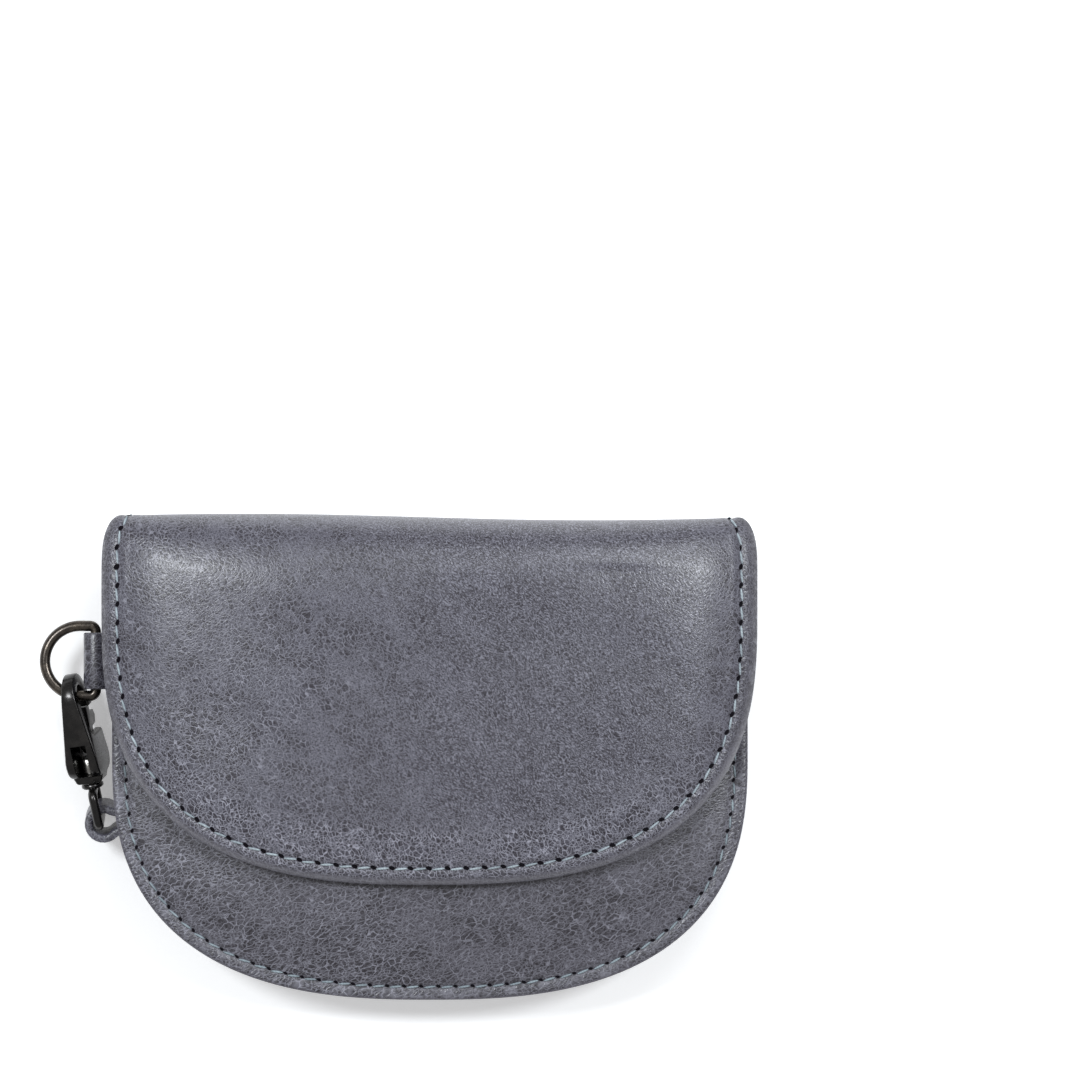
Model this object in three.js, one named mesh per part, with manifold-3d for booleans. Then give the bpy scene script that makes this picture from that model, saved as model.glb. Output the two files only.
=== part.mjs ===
// A half-moon leather wristlet, closed and lying on its back on its own wrist strap.
// Millimetres, +Z up: X runs across the purse, +Y points to its fold, +Z out of its front.
import * as THREE from "three";
import { mergeVertices } from "three/addons/utils/BufferGeometryUtils.js";
import Module from "manifold-3d";

const wasm = await Module();
wasm.setup();

// Driving sizes of the purse
const gap = 0.3;
const liningGap = 0.5;
const purseHeight = 104.7;
const topY = purseHeight / 2;
const leather = 1.4;
const liningLeather = 1.2;
const netThickness = 0.5;
const hem = { thick: 2.9, from: 0.9, full: 0.95 };
const foldDepth = 11.5;
const foldCornerIn = 1.5;
const foldCornerDepth = 13;
const foldDip = { mean: 0.75, swing: 0.7, crest: -40, halfWave: 75 };

// Half-moon outlines: half width, depth where the round starts, drop of the round, squareness
const bodyOutline = { half: 68.4, start: 52, drop: 52.7, power: 2.6 };
const flapOutline = { half: 70.3, start: 22, drop: 57.5, power: 2.7 };

// Depths below the top of the fold
const frontTopDepth = 20;
const dividerTopDepth = 7.4;
const liningTopDepth = 20.3;
const windowTopDepth = 27.5;
const windowInset = 15;
const liningInset = 6.2;
const snapDepth = 64;
const snapTongue = { depth: 68, radius: 12 };

// Heights above the flat of the back
const seamRise = 4.2;
const dividerHeight = 6.0;
const frontSeamHeight = 7.7;
const frontPuff = 4.8;
const puffEdge = 0.95;
const puffPower = 4;
const dividerLean = 4;
const dividerLeanDepth = 18;
const flapCrest = 23.8;
const flapFall = 4.1;
const flapFallPower = 1.3;
const flapSideFall = 6.5;
const flapSidePower = 3.5;
const flapDroop = { deep: 2.3, from: 0.8 };

// Strap, tab, ring and hook
const strapWidth = 8;
const strapThickness = 1.8;
const backHeight = strapWidth + gap;
const tabWidth = 12.2;
const tabMiddleY = 20.5;
const tabHeight = 4.3;
const tabDip = { deep: 3.1, across: 12, along: 18 };
const ringWire = 2.3;
const ringBarX = -72.2;
const ringHalf = 7.55;
const ringDeep = 11.0;
const ringCorner = 1.3;
const hookTurn = THREE.MathUtils.degToRad(-9.6);
const hookRing = {
  x: ringBarX + ringHalf - ringDeep + ringHalf * Math.sin(hookTurn),
  y: tabMiddleY - ringHalf * Math.cos(hookTurn),
  z: backHeight + tabHeight,
};
const hookSlope = { x: 0.185, y: -0.965, z: -0.18 };
const hookRoll = THREE.MathUtils.degToRad(12);
const eyeAlong = 33;

const colours = {
  leather: { color: 0x6b6a74, roughness: 0.55, metalness: 0 },
  net: { color: 0x24292f, roughness: 0.8, metalness: 0 },
  tape: { color: 0x3a4250, roughness: 0.85, metalness: 0 },
  pewter: { color: 0x8a8478, roughness: 0.35, metalness: 1 },
  bronze: { color: 0x6d6252, roughness: 0.35, metalness: 1 },
  gunmetal: { color: 0x4a4b4e, roughness: 0.3, metalness: 1 },
};

const model = new THREE.Group();
model.name = "wristlet";

function addMesh(name, geometry, finish, parent = model) {
  const mesh = new THREE.Mesh(geometry, new THREE.MeshStandardMaterial(colours[finish]));
  mesh.name = name;
  parent.add(mesh);
  return mesh;
}

function range(from, to, steps) {
  return Array.from({ length: steps + 1 }, (_, index) => from + ((to - from) * index) / steps);
}

function smooth(value) {
  const t = THREE.MathUtils.clamp(value, 0, 1);
  return t * t * (3 - 2 * t);
}

// Solids and joins
function solidOf(geometry) {
  const bare = new THREE.BufferGeometry();
  bare.setAttribute("position", geometry.getAttribute("position").clone());
  if (geometry.index) {
    bare.setIndex(geometry.index.clone());
  }
  const merged = mergeVertices(bare, 1e-4);
  const vertProperties = new Float32Array(merged.attributes.position.array);
  const triVerts = new Uint32Array(merged.index.array);
  return new wasm.Manifold(new wasm.Mesh({ numProp: 3, vertProperties, triVerts }));
}

function geometryOf(solid) {
  const mesh = solid.getMesh();
  const geometry = new THREE.BufferGeometry();
  geometry.setAttribute("position", new THREE.BufferAttribute(mesh.vertProperties, mesh.numProp));
  geometry.setIndex(new THREE.BufferAttribute(mesh.triVerts, 1));
  return geometry;
}

// A wall with two faces: pointAt(column, row, face) gives its points
// With around, the last column joins the first
function wallGeometry(columns, rows, pointAt, around = false) {
  const positions = [];
  for (const face of [0, 1]) {
    for (const row of rows) {
      for (const column of columns) {
        positions.push(...pointAt(column, row, face));
      }
    }
  }
  const across = columns.length;
  const down = rows.length;
  const at = (face, row, column) => (face * down + row) * across + (column % across);
  const indices = [];
  const quad = (a, b, c, d) => indices.push(a, b, c, a, c, d);
  const lastColumn = around ? across : across - 1;
  for (let row = 0; row < down - 1; row += 1) {
    for (let column = 0; column < lastColumn; column += 1) {
      quad(at(0, row, column), at(0, row, column + 1), at(0, row + 1, column + 1), at(0, row + 1, column));
      quad(at(1, row, column), at(1, row + 1, column), at(1, row + 1, column + 1), at(1, row, column + 1));
    }
  }
  for (let column = 0; column < lastColumn; column += 1) {
    const end = down - 1;
    quad(at(0, 0, column), at(1, 0, column), at(1, 0, column + 1), at(0, 0, column + 1));
    quad(at(0, end, column), at(0, end, column + 1), at(1, end, column + 1), at(1, end, column));
  }
  if (!around) {
    const side = across - 1;
    for (let row = 0; row < down - 1; row += 1) {
      quad(at(0, row, 0), at(0, row + 1, 0), at(1, row + 1, 0), at(1, row, 0));
      quad(at(0, row, side), at(1, row, side), at(1, row + 1, side), at(0, row + 1, side));
    }
  }
  const geometry = new THREE.BufferGeometry();
  geometry.setAttribute("position", new THREE.Float32BufferAttribute(positions, 3));
  geometry.setIndex(indices);
  if (solidOf(geometry).volume() < 0) {
    indices.reverse();
    geometry.setIndex(indices);
  }
  return geometry;
}

// A closed round wire through the points of a path in the XY plane
function wireLoop(path, radius, steps, sides) {
  const points = path.getSpacedPoints(steps).slice(0, -1);
  const curve = new THREE.CatmullRomCurve3(
    points.map((point) => new THREE.Vector3(point.x, point.y, 0)),
    true,
  );
  return new THREE.TubeGeometry(curve, steps, radius, sides, true);
}

function cylinderAlongX(radius, from, to, sides) {
  const geometry = new THREE.CylinderGeometry(radius, radius, to - from, sides);
  geometry.rotateZ(-Math.PI / 2);
  geometry.translate((from + to) / 2, 0, 0);
  return geometry;
}

// Shape of the purse: every height is above the flat of its back
function outlineReach(outline, x, depth) {
  const sideways = Math.abs(x) / outline.half;
  const down = Math.max(0, depth - outline.start) / outline.drop;
  return (sideways ** outline.power + down ** outline.power) ** (1 / outline.power);
}

function halfWidth(outline, depth) {
  if (depth <= outline.start) {
    return outline.half - foldCornerIn * Math.max(0, 1 - depth / foldCornerDepth) ** 4;
  }
  const down = Math.min(1, (depth - outline.start) / outline.drop);
  return outline.half * (1 - down ** outline.power) ** (1 / outline.power);
}

function puff(x, depth) {
  const reach = outlineReach(bodyOutline, x, depth) / puffEdge;
  return Math.max(0, 1 - reach ** puffPower);
}

function foldWave(x) {
  return foldDip.mean - foldDip.swing * Math.cos((Math.PI * (x - foldDip.crest)) / foldDip.halfWave);
}

function backAt(x, depth) {
  const fromTab = (depth - (topY - tabMiddleY)) / tabDip.along;
  const fromEdge = (x + bodyOutline.half) / tabDip.across;
  const dip = tabDip.deep * Math.exp(-(fromTab ** 4) - fromEdge ** 4);
  return Math.max(0, seamRise * (1 - puff(x, depth)) - dip);
}

function flapAt(x, depth) {
  const down = Math.max(0, depth - foldDepth) / (flapOutline.start + flapOutline.drop - foldDepth);
  const sideways = Math.abs(x) / flapOutline.half;
  const edge = Math.max(0, outlineReach(flapOutline, x, depth) - flapDroop.from) / (1 - flapDroop.from);
  const fall = flapFall * down ** flapFallPower + flapSideFall * sideways ** flapSidePower;
  return flapCrest - fall - flapDroop.deep * edge ** 2;
}

function dividerAt(x, depth) {
  const lean = smooth((dividerLeanDepth - depth) / (dividerLeanDepth - dividerTopDepth));
  return dividerHeight + dividerLean * lean * Math.max(0, 1 - (Math.abs(x) / bodyOutline.half) ** 6);
}

function frontAt(x, depth) {
  return frontSeamHeight + frontPuff * puff(x, depth);
}

// A cut through the fold: the point at an angle round it, and a depth of leather inwards
function foldPoint(x, angle, inwards) {
  const low = backAt(x, foldDepth);
  const high = flapAt(x, foldDepth);
  const half = (high - low) / 2;
  const reach = foldDepth - foldWave(x);
  const normal = new THREE.Vector2(Math.cos(angle) / reach, Math.sin(angle) / half).normalize();
  const y = topY - foldDepth + reach * Math.cos(angle) - normal.x * inwards;
  const z = low + half + half * Math.sin(angle) - normal.y * inwards;
  return { y, z };
}

function place(x, depth, height) {
  return [x, topY - depth, backHeight + height];
}

// Shares of the half width and angles at which the leather walls are cut into faces
const columns = [-1, -0.965, -0.92, -0.8, -0.6, -0.3, 0, 0.3, 0.6, 0.8, 0.92, 0.965, 1];
const roundAngles = range(0, THREE.MathUtils.degToRad(86), 11);
const foldAngles = range(-Math.PI / 2, Math.PI / 2, 10).slice(1, -1);
const liningStart = THREE.MathUtils.degToRad(-40);
const liningReach = 0.8;

function roundDepths(outline) {
  return roundAngles.map((angle) => outline.start + outline.drop * Math.sin(angle) ** (2 / outline.power));
}

// Outer leather: up the back, round the fold and down the flap, with the flap's turned edge
function makeBackFlap() {
  const upTheBack = range(bodyOutline.start, foldDepth, 4).slice(1);
  const belowTheFold = range(foldDepth, flapOutline.start, 2).slice(0, -1);
  const backDepths = [...roundDepths(bodyOutline).reverse(), ...upTheBack];
  const flapDepths = [...belowTheFold, ...roundDepths(flapOutline)];
  const rows = [
    ...backDepths.map((depth) => ({ side: "back", depth })),
    ...foldAngles.map((angle) => ({ side: "fold", angle })),
    ...flapDepths.map((depth) => ({ side: "flap", depth })),
  ];
  const hemAt = (reach, share) => {
    const turned = smooth((reach - hem.from) / (hem.full - hem.from));
    return leather + (hem.thick - leather) * share * turned;
  };
  const pointAt = (column, row, face) => {
    if (row.side === "fold") {
      const share = (Math.sin(row.angle) + 1) / 2;
      const depth = foldDepth * (1 - Math.cos(row.angle));
      const back = halfWidth(bodyOutline, depth);
      const x = column * (back + share * (halfWidth(flapOutline, depth) - back));
      const { y, z } = foldPoint(x, row.angle, face * hemAt(Math.abs(column), share));
      return [x, y, backHeight + z];
    }
    if (row.side === "back") {
      const x = column * halfWidth(bodyOutline, row.depth);
      return place(x, row.depth, backAt(x, row.depth) + face * leather);
    }
    const x = column * halfWidth(flapOutline, row.depth);
    const reach = Math.max(Math.abs(column), outlineReach(flapOutline, x, row.depth));
    return place(x, row.depth, flapAt(x, row.depth) - face * hemAt(reach, 1));
  };
  addMesh("back_flap", wallGeometry(columns, rows, pointAt), "leather");
}

// Leather lining inside the fold, from above the zip to the top of the flap lining
function makeFoldLining() {
  const half = flapOutline.half;
  const outside = leather + liningGap;
  const rows = [
    ...foldAngles.filter((angle) => angle > liningStart).map((angle) => ({ angle })),
    { depth: foldDepth },
    { depth: liningTopDepth - gap },
  ];
  const pointAt = (column, row, face) => {
    const x = column * half;
    const inwards = outside + face * liningLeather;
    if (row.depth) {
      return place(x, row.depth, flapAt(x, row.depth) - inwards);
    }
    const { y, z } = foldPoint(x, row.angle, inwards);
    return [x, y, backHeight + z];
  };
  const inside = columns.filter((column) => Math.abs(column) <= liningReach);
  addMesh("fold_lining", wallGeometry(inside, rows, pointAt), "leather");
}

// Flap lining: a ring of leather from the net window out to the turned edge
function inLining(x, depth) {
  return depth > liningTopDepth && outlineReach(insetOutline(liningInset), x, depth) < 1;
}

function inWindow(x, depth) {
  const fromTongue = Math.hypot(x, depth - snapTongue.depth);
  const inFlap = outlineReach(insetOutline(windowInset), x, depth) < 1;
  return depth > windowTopDepth && inFlap && fromTongue > snapTongue.radius;
}

function insetOutline(inset) {
  return { ...flapOutline, half: flapOutline.half - inset, drop: flapOutline.drop - inset };
}

const windowMiddleDepth = 42;
const net = { tuck: 2.6, top: 24, bottom: 66 };

function reachFromWindow(inside, angle) {
  let near = 0;
  let far = purseHeight;
  while (far - near > 1e-4) {
    const middle = (near + far) / 2;
    const x = middle * Math.sin(angle);
    const depth = windowMiddleDepth - middle * Math.cos(angle);
    if (inside(x, depth)) {
      near = middle;
    } else {
      far = middle;
    }
  }
  return near;
}

function makeFlapLining() {
  const angles = range(0, 2 * Math.PI, 64).slice(0, -1);
  const outside = leather + 2 * liningGap + netThickness;
  const pointAt = (angle, row, face) => {
    const inner = reachFromWindow(inWindow, angle);
    const outer = reachFromWindow(inLining, angle);
    const reach = inner + row * (outer - inner);
    const x = reach * Math.sin(angle);
    const depth = windowMiddleDepth - reach * Math.cos(angle);
    return place(x, depth, flapAt(x, depth) - outside - face * liningLeather);
  };
  addMesh("flap_lining", wallGeometry(angles, range(0, 1, 2), pointAt, true), "leather");
}

// Net behind the window, held under the lining all round
function makeWindowMesh() {
  const outline = insetOutline(windowInset - net.tuck);
  const depths = range(net.top, net.bottom, 6);
  const outside = leather + liningGap;
  const pointAt = (column, depth, face) => {
    const x = column * halfWidth(outline, depth);
    return place(x, depth, flapAt(x, depth) - outside - face * netThickness);
  };
  addMesh("window_mesh", wallGeometry(range(-1, 1, 10), depths, pointAt), "net");
}

// Front panel of the open pocket
function makeFrontPanel() {
  const depths = [...range(frontTopDepth, bodyOutline.start, 3).slice(0, -1), ...roundDepths(bodyOutline)];
  const pointAt = (column, depth, face) => {
    const x = column * halfWidth(bodyOutline, depth);
    return place(x, depth, frontAt(x, depth) + face * leather);
  };
  addMesh("front_panel", wallGeometry(columns, depths, pointAt), "leather");
}

// Divider behind it: its round-cornered top leans forward over the zip
function makePocketPanel() {
  const depths = [
    ...range(dividerTopDepth, dividerLeanDepth, 4),
    ...range(dividerLeanDepth, bodyOutline.start, 3).slice(1, -1),
    ...roundDepths(bodyOutline),
  ];
  const cornerCut = 0.055;
  const pointAt = (column, depth, face) => {
    const cut = cornerCut * Math.max(0, frontTopDepth - depth) ** 2;
    const x = column * (halfWidth(bodyOutline, depth) - cut);
    return place(x, depth, dividerAt(x, depth) + face * leather);
  };
  addMesh("pocket_panel", wallGeometry(columns, depths, pointAt), "leather");
}

// Zip between the back and the divider, closed, with its slider at the left end
const zip = { left: -35.7, right: 52, depth: 10.2, tape: 0.9, low: 3.9, high: 8.0, coil: 1.6 };
const slider = { left: -44, right: -36, low: 3.8, high: 7.8, top: 8.0, bottom: 12.2 };
const link = { depth: 6.4, wire: 1.3, back: 7.65, front: 14.6, wide: 7.0, corner: 1.4, clear: 0.45 };
const lug = { wall: 0.5, sunk: 0.5, long: 3 };
const puller = { ply: 1.0, neck: 4.3, end: 39 };

function boxBetween(low, high) {
  const size = new THREE.Vector3().subVectors(high, low);
  const geometry = new THREE.BoxGeometry(size.x, size.y, size.z);
  return geometry.translate((low.x + high.x) / 2, (low.y + high.y) / 2, (low.z + high.z) / 2);
}

function zipStrip(left, right, depthTop, depthBottom, low, high) {
  return boxBetween(
    new THREE.Vector3(...place(left, depthBottom, low)),
    new THREE.Vector3(...place(right, depthTop, high)),
  );
}

function makeZip() {
  const middle = (zip.low + zip.high) / 2;
  const coilLow = middle - zip.coil / 2;
  const coilHigh = middle + zip.coil / 2;
  const under = zip.depth + zip.tape;
  const back = zipStrip(zip.left, zip.right, zip.depth, under, zip.low, coilLow - gap);
  const front = zipStrip(zip.left, zip.right, zip.depth, under, coilHigh + gap, zip.high);
  const coil = zipStrip(zip.left, zip.right, zip.depth - zip.coil / 2, under, coilLow, coilHigh);
  addMesh("zip_tape_back", back, "tape");
  addMesh("zip_tape_front", front, "tape");
  addMesh("zip_coil", coil, "tape");
}

function makeZipSlider() {
  const middle = (slider.left + slider.right) / 2;
  const body = zipStrip(slider.left, slider.right, slider.top, slider.bottom, slider.low, slider.high);
  const lugShape = new THREE.Shape();
  const lugHigh = link.wire / 2 + link.clear + lug.wall;
  const foot = link.depth - slider.top - lug.sunk;
  lugShape.absarc(0, 0, lugHigh, 0, Math.PI, false);
  lugShape.lineTo(-lugHigh, foot);
  lugShape.lineTo(lugHigh, foot);
  lugShape.closePath();
  const hole = new THREE.Path();
  hole.absarc(0, 0, link.wire / 2 + link.clear, 0, 2 * Math.PI, true);
  lugShape.holes.push(hole);
  const ear = new THREE.ExtrudeGeometry(lugShape, { depth: lug.long, bevelEnabled: false, curveSegments: 6 });
  ear.translate(0, 0, -lug.long / 2);
  ear.rotateY(Math.PI / 2);
  ear.translate(...place(middle, link.depth, link.back));
  addMesh("zip_slider", geometryOf(solidOf(body).add(solidOf(ear))), "bronze");
}

function roundedRectangle(wide, high, radius) {
  const path = new THREE.Path();
  const x = wide / 2 - radius;
  const y = high / 2 - radius;
  path.absarc(x, y, radius, 0, Math.PI / 2);
  path.absarc(-x, y, radius, Math.PI / 2, Math.PI);
  path.absarc(-x, -y, radius, Math.PI, 1.5 * Math.PI);
  path.absarc(x, -y, radius, 1.5 * Math.PI, 2 * Math.PI);
  path.closePath();
  return path;
}

function makeZipPull() {
  const middle = (slider.left + slider.right) / 2;
  const outline = roundedRectangle(link.wide, link.front - link.back, link.corner);
  const loop = wireLoop(outline, link.wire / 2, 28, 8);
  loop.rotateX(Math.PI / 2);
  loop.translate(...place(middle, link.depth, (link.front + link.back) / 2));
  addMesh("zip_pull_link", loop, "bronze");

  const inner = link.wire / 2 + link.clear;
  const outer = inner + puller.ply;
  const strip = new THREE.Shape();
  strip.absarc(0, 0, outer, 0, Math.PI, false);
  strip.lineTo(-puller.ply, -puller.neck);
  strip.lineTo(-puller.ply, link.depth - puller.end);
  strip.lineTo(puller.ply, link.depth - puller.end);
  strip.lineTo(puller.ply, -puller.neck);
  strip.closePath();
  const hole = new THREE.Path();
  hole.absarc(0, 0, inner, 0, 2 * Math.PI, true);
  strip.holes.push(hole);
  const pullWide = link.wide - link.wire - 2 * gap;
  const tab = new THREE.ExtrudeGeometry(strip, { depth: pullWide, bevelEnabled: false, curveSegments: 8 });
  tab.translate(0, 0, -pullWide / 2);
  tab.rotateY(-Math.PI / 2);
  tab.translate(...place(middle, link.depth, link.front));
  addMesh("zip_pull_tab", tab, "leather");
}

// Press snap: socket on the front panel, stud on the tongue of the flap lining
const stud = { radius: 4.15, gap: 0.35 };

function makeSnap() {
  const panel = frontAt(0, snapDepth) + leather;
  const studRim = snapDepth + stud.radius;
  const lining = flapAt(0, studRim) - leather - 2 * liningGap - netThickness - liningLeather;
  const socketProfile = [
    { radius: 2.5, height: 0 },
    { radius: 5.75, height: 0 },
    { radius: 5.75, height: 0.5 },
    { radius: 4.6, height: 0.95 },
    { radius: 3.3, height: 1.1 },
    { radius: 2.5, height: 0.8 },
    { radius: 2.5, height: 0 },
  ];
  const studProfile = [
    { radius: 0, height: 0 },
    { radius: stud.radius, height: 0 },
    { radius: stud.radius, height: -0.35 },
    { radius: 3.4, height: -0.5 },
    { radius: 1.7, height: -0.5 },
    { radius: 1.7, height: -1.6 },
    { radius: 1.2, height: -1.95 },
    { radius: 0, height: -1.95 },
  ];
  const turned = (profile) => {
    const points = profile.map(({ radius, height }) => new THREE.Vector2(radius, height));
    const geometry = new THREE.LatheGeometry(points, 24);
    return geometry.rotateX(Math.PI / 2);
  };
  const socket = turned(socketProfile).translate(...place(0, snapDepth, panel + gap));
  const button = turned([...studProfile].reverse()).translate(...place(0, snapDepth, lining - stud.gap));
  addMesh("snap_socket", socket, "pewter");
  addMesh("snap_stud", button, "pewter");
}

// Folded tab in the left side seam, and the ring that hangs in it
function makeRingTab() {
  const inner = ringWire / 2 + gap;
  const outer = inner + liningLeather;
  const tail = { start: -69, end: -61, half: 1.3 };
  const opening = Math.PI / 3;
  const shape = new THREE.Shape();
  shape.absarc(0, 0, outer, opening, 2 * Math.PI - opening, false);
  shape.lineTo(tail.start - ringBarX, -tail.half);
  shape.lineTo(tail.end - ringBarX, -tail.half);
  shape.lineTo(tail.end - ringBarX, tail.half);
  shape.lineTo(tail.start - ringBarX, tail.half);
  shape.closePath();
  const hole = new THREE.Path();
  hole.absarc(0, 0, inner, 0, 2 * Math.PI, true);
  shape.holes.push(hole);
  const tab = new THREE.ExtrudeGeometry(shape, { depth: tabWidth, bevelEnabled: false, curveSegments: 12 });
  tab.translate(0, 0, -tabWidth / 2);
  tab.rotateX(Math.PI / 2);
  tab.translate(ringBarX, tabMiddleY, backHeight + tabHeight);
  addMesh("ring_tab", tab, "leather");
}

function makeRing() {
  const path = new THREE.Path();
  path.moveTo(0, ringCorner - ringHalf);
  path.lineTo(0, ringHalf - ringCorner);
  path.absarc(-ringCorner, ringHalf - ringCorner, ringCorner, 0, Math.PI / 2);
  path.absarc(ringHalf - ringDeep, 0, ringHalf, Math.PI / 2, 1.5 * Math.PI);
  path.absarc(-ringCorner, ringCorner - ringHalf, ringCorner, 1.5 * Math.PI, 2 * Math.PI);
  path.closePath();
  const ring = wireLoop(path, ringWire / 2, 48, 10);
  ring.translate(ringBarX, tabMiddleY, backHeight + tabHeight);
  addMesh("d_ring", ring, "bronze");
}

// Trigger hook, drawn along its own axis: x runs from the claw to the swivel, y out to the spine
const claw = { outer: 5.4, inner: 2.8, centre: 5.4, play: 0.95, mouth: 8, floor: 13.5, fillet: 1.7 };
const stock = { base: 22, shoulder: 3.6, lip: 0.6, end: 24, neck: 2.4 };
const cast = { thick: 5.6, bevel: 0.8, nose: 0.36, noseEnd: 20, roundFrom: 21, roundLong: 4.5 };
const gate = { pivotX: 16.5, pivotY: -3.4, pin: 0.8, thick: 2.3, low: -5.3, high: -3.0, start: 8.35 };
const heel = { along: 13.4, out: -1.8, step: 12.6 };
const thumbPad = [
  { along: 9.6, out: gate.low },
  { along: 9.8, out: -7.8 },
  { along: 11.2, out: -8.6 },
  { along: 12.8, out: -7.8 },
  { along: 13.0, out: gate.low },
];
const slot = { from: 13.0, to: 18.8, wide: 3.0, high: 1.0, low: -8 };
const spineWindow = { from: 14.9, to: 22.2, wide: 3.4, low: -1.75, high: 7 };
const post = { radius: 1.0, head: 1.35, from: 18.8, headTo: 21.8 };
const flange = { radius: 2.4, from: 24.3, to: 25.4 };
const eye = { wire: 2.0, near: 25.8, tall: 11.8, corner: 1.2 };

function hookFrame() {
  const along = new THREE.Vector3(hookSlope.x, hookSlope.y, hookSlope.z).normalize();
  const out = new THREE.Vector3(0, 0, 1).addScaledVector(along, -along.z).normalize();
  const side = new THREE.Vector3().crossVectors(along, out);
  const frame = new THREE.Group();
  frame.setRotationFromMatrix(new THREE.Matrix4().makeBasis(along, out, side));
  const grip = claw.centre - claw.inner + ringWire / 2 + claw.play;
  frame.position.set(hookRing.x, hookRing.y, hookRing.z).addScaledVector(along, -grip);
  model.add(frame);
  return { frame, along, out };
}

function makeHookBody(parent) {
  const underside = gate.low - gap;
  const shape = new THREE.Shape();
  shape.moveTo(claw.mouth, -claw.outer);
  shape.lineTo(claw.mouth, -claw.inner);
  shape.lineTo(claw.centre, -claw.inner);
  shape.absarc(claw.centre, 0, claw.inner, 1.5 * Math.PI, Math.PI / 2, true);
  shape.lineTo(claw.floor - claw.fillet, claw.inner);
  shape.quadraticCurveTo(claw.floor, claw.inner, claw.floor, claw.inner - claw.fillet);
  shape.lineTo(claw.floor, underside);
  shape.lineTo(stock.base - stock.shoulder, underside);
  shape.quadraticCurveTo(stock.base, underside, stock.base + stock.lip, -stock.neck);
  shape.lineTo(stock.end, -stock.neck);
  shape.lineTo(stock.end, stock.neck);
  shape.lineTo(stock.base + stock.lip, stock.neck);
  shape.quadraticCurveTo(stock.base, claw.outer, stock.base - stock.shoulder, claw.outer);
  shape.lineTo(claw.centre, claw.outer);
  shape.absarc(claw.centre, 0, claw.outer, Math.PI / 2, 1.5 * Math.PI, false);
  shape.closePath();
  const body = new THREE.ExtrudeGeometry(shape, {
    depth: cast.thick,
    bevelThickness: cast.bevel,
    bevelSize: cast.bevel / 2,
    bevelOffset: -cast.bevel / 2,
    bevelSegments: 2,
    curveSegments: 7,
  });
  body.translate(0, 0, -cast.thick / 2);
  const points = body.getAttribute("position");
  for (let index = 0; index < points.count; index += 1) {
    const along = points.getX(index);
    const taper = cast.nose + (1 - cast.nose) * smooth(along / cast.noseEnd);
    const pastBase = Math.max(0, along - cast.roundFrom) / cast.roundLong;
    points.setZ(index, points.getZ(index) * taper * Math.sqrt(1 - pastBase ** 2));
  }
  const opening = ({ from, to, wide, low, high }) =>
    solidOf(boxBetween(new THREE.Vector3(from, low, -wide / 2), new THREE.Vector3(to, high, wide / 2)));
  const bore = cylinderAlongX(post.radius + gap, post.headTo, flange.to, 16);
  const pin = new THREE.CylinderGeometry(gate.pin, gate.pin, cast.thick, 12);
  pin.rotateX(Math.PI / 2);
  pin.translate(gate.pivotX, gate.pivotY, 0);
  const hollowed = solidOf(body).subtract(opening(slot)).subtract(opening(spineWindow));
  const solid = hollowed.subtract(solidOf(bore)).add(solidOf(pin));
  addMesh("hook_body", geometryOf(solid), "gunmetal", parent);
}

function makeHookGate(parent) {
  const shape = new THREE.Shape();
  shape.moveTo(gate.start, gate.high);
  shape.lineTo(gate.start, gate.low);
  thumbPad.forEach(({ along, out }) => shape.lineTo(along, out));
  shape.lineTo(gate.pivotX, gate.low);
  shape.absarc(gate.pivotX, gate.pivotY, gate.pivotY - gate.low, 1.5 * Math.PI, 2.5 * Math.PI, false);
  shape.lineTo(heel.along, heel.out);
  shape.lineTo(heel.step, gate.high);
  shape.closePath();
  const hole = new THREE.Path();
  hole.absarc(gate.pivotX, gate.pivotY, gate.pin + gap, 0, 2 * Math.PI, true);
  shape.holes.push(hole);
  const plate = { depth: gate.thick, bevelEnabled: false, curveSegments: 8 };
  const lever = new THREE.ExtrudeGeometry(shape, plate);
  lever.translate(0, 0, -gate.thick / 2);
  addMesh("hook_gate", lever, "gunmetal", parent);
}

function makeSwivel(parent) {
  const stem = cylinderAlongX(post.radius, post.from, flange.to, 16);
  const head = cylinderAlongX(post.head, post.from, post.headTo, 16);
  const collar = cylinderAlongX(flange.radius, flange.from, flange.to, 16);
  const long = eyeAlong - eye.near;
  const loop = wireLoop(roundedRectangle(long, eye.tall, eye.corner), eye.wire / 2, 36, 8);
  loop.translate((eyeAlong + eye.near) / 2, 0, 0);
  const solid = solidOf(stem).add(solidOf(head)).add(solidOf(collar)).add(solidOf(loop));
  addMesh("hook_swivel", geometryOf(solid), "gunmetal", parent);
}

function makeHook() {
  const { frame, along, out } = hookFrame();
  const turned = new THREE.Group();
  turned.rotation.x = hookRoll;
  frame.add(turned);
  makeHookBody(turned);
  makeHookGate(turned);
  makeSwivel(frame);
  const bar = frame.position.clone().addScaledVector(along, eyeAlong);
  return { bar, out };
}

// Wrist strap, standing on its edge: half of the wide loop's middle line, along and across from the eye
const wideLoop = [
  { along: 11.5, across: 1.25 },
  { along: 22, across: 4.6 },
  { along: 45, across: 13.2 },
  { along: 72, across: 20.4 },
  { along: 98, across: 21.4 },
  { along: 117, across: 14.6 },
  { along: 125, across: 0 },
];
const smallLoop = { inner: 2.3, centre: 0.9, neckStart: 9, neckEnd: 14, slit: 7.5 };
const strapHeading = THREE.MathUtils.degToRad(9);
const strapRise = { from: -50, to: -68 };

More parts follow.
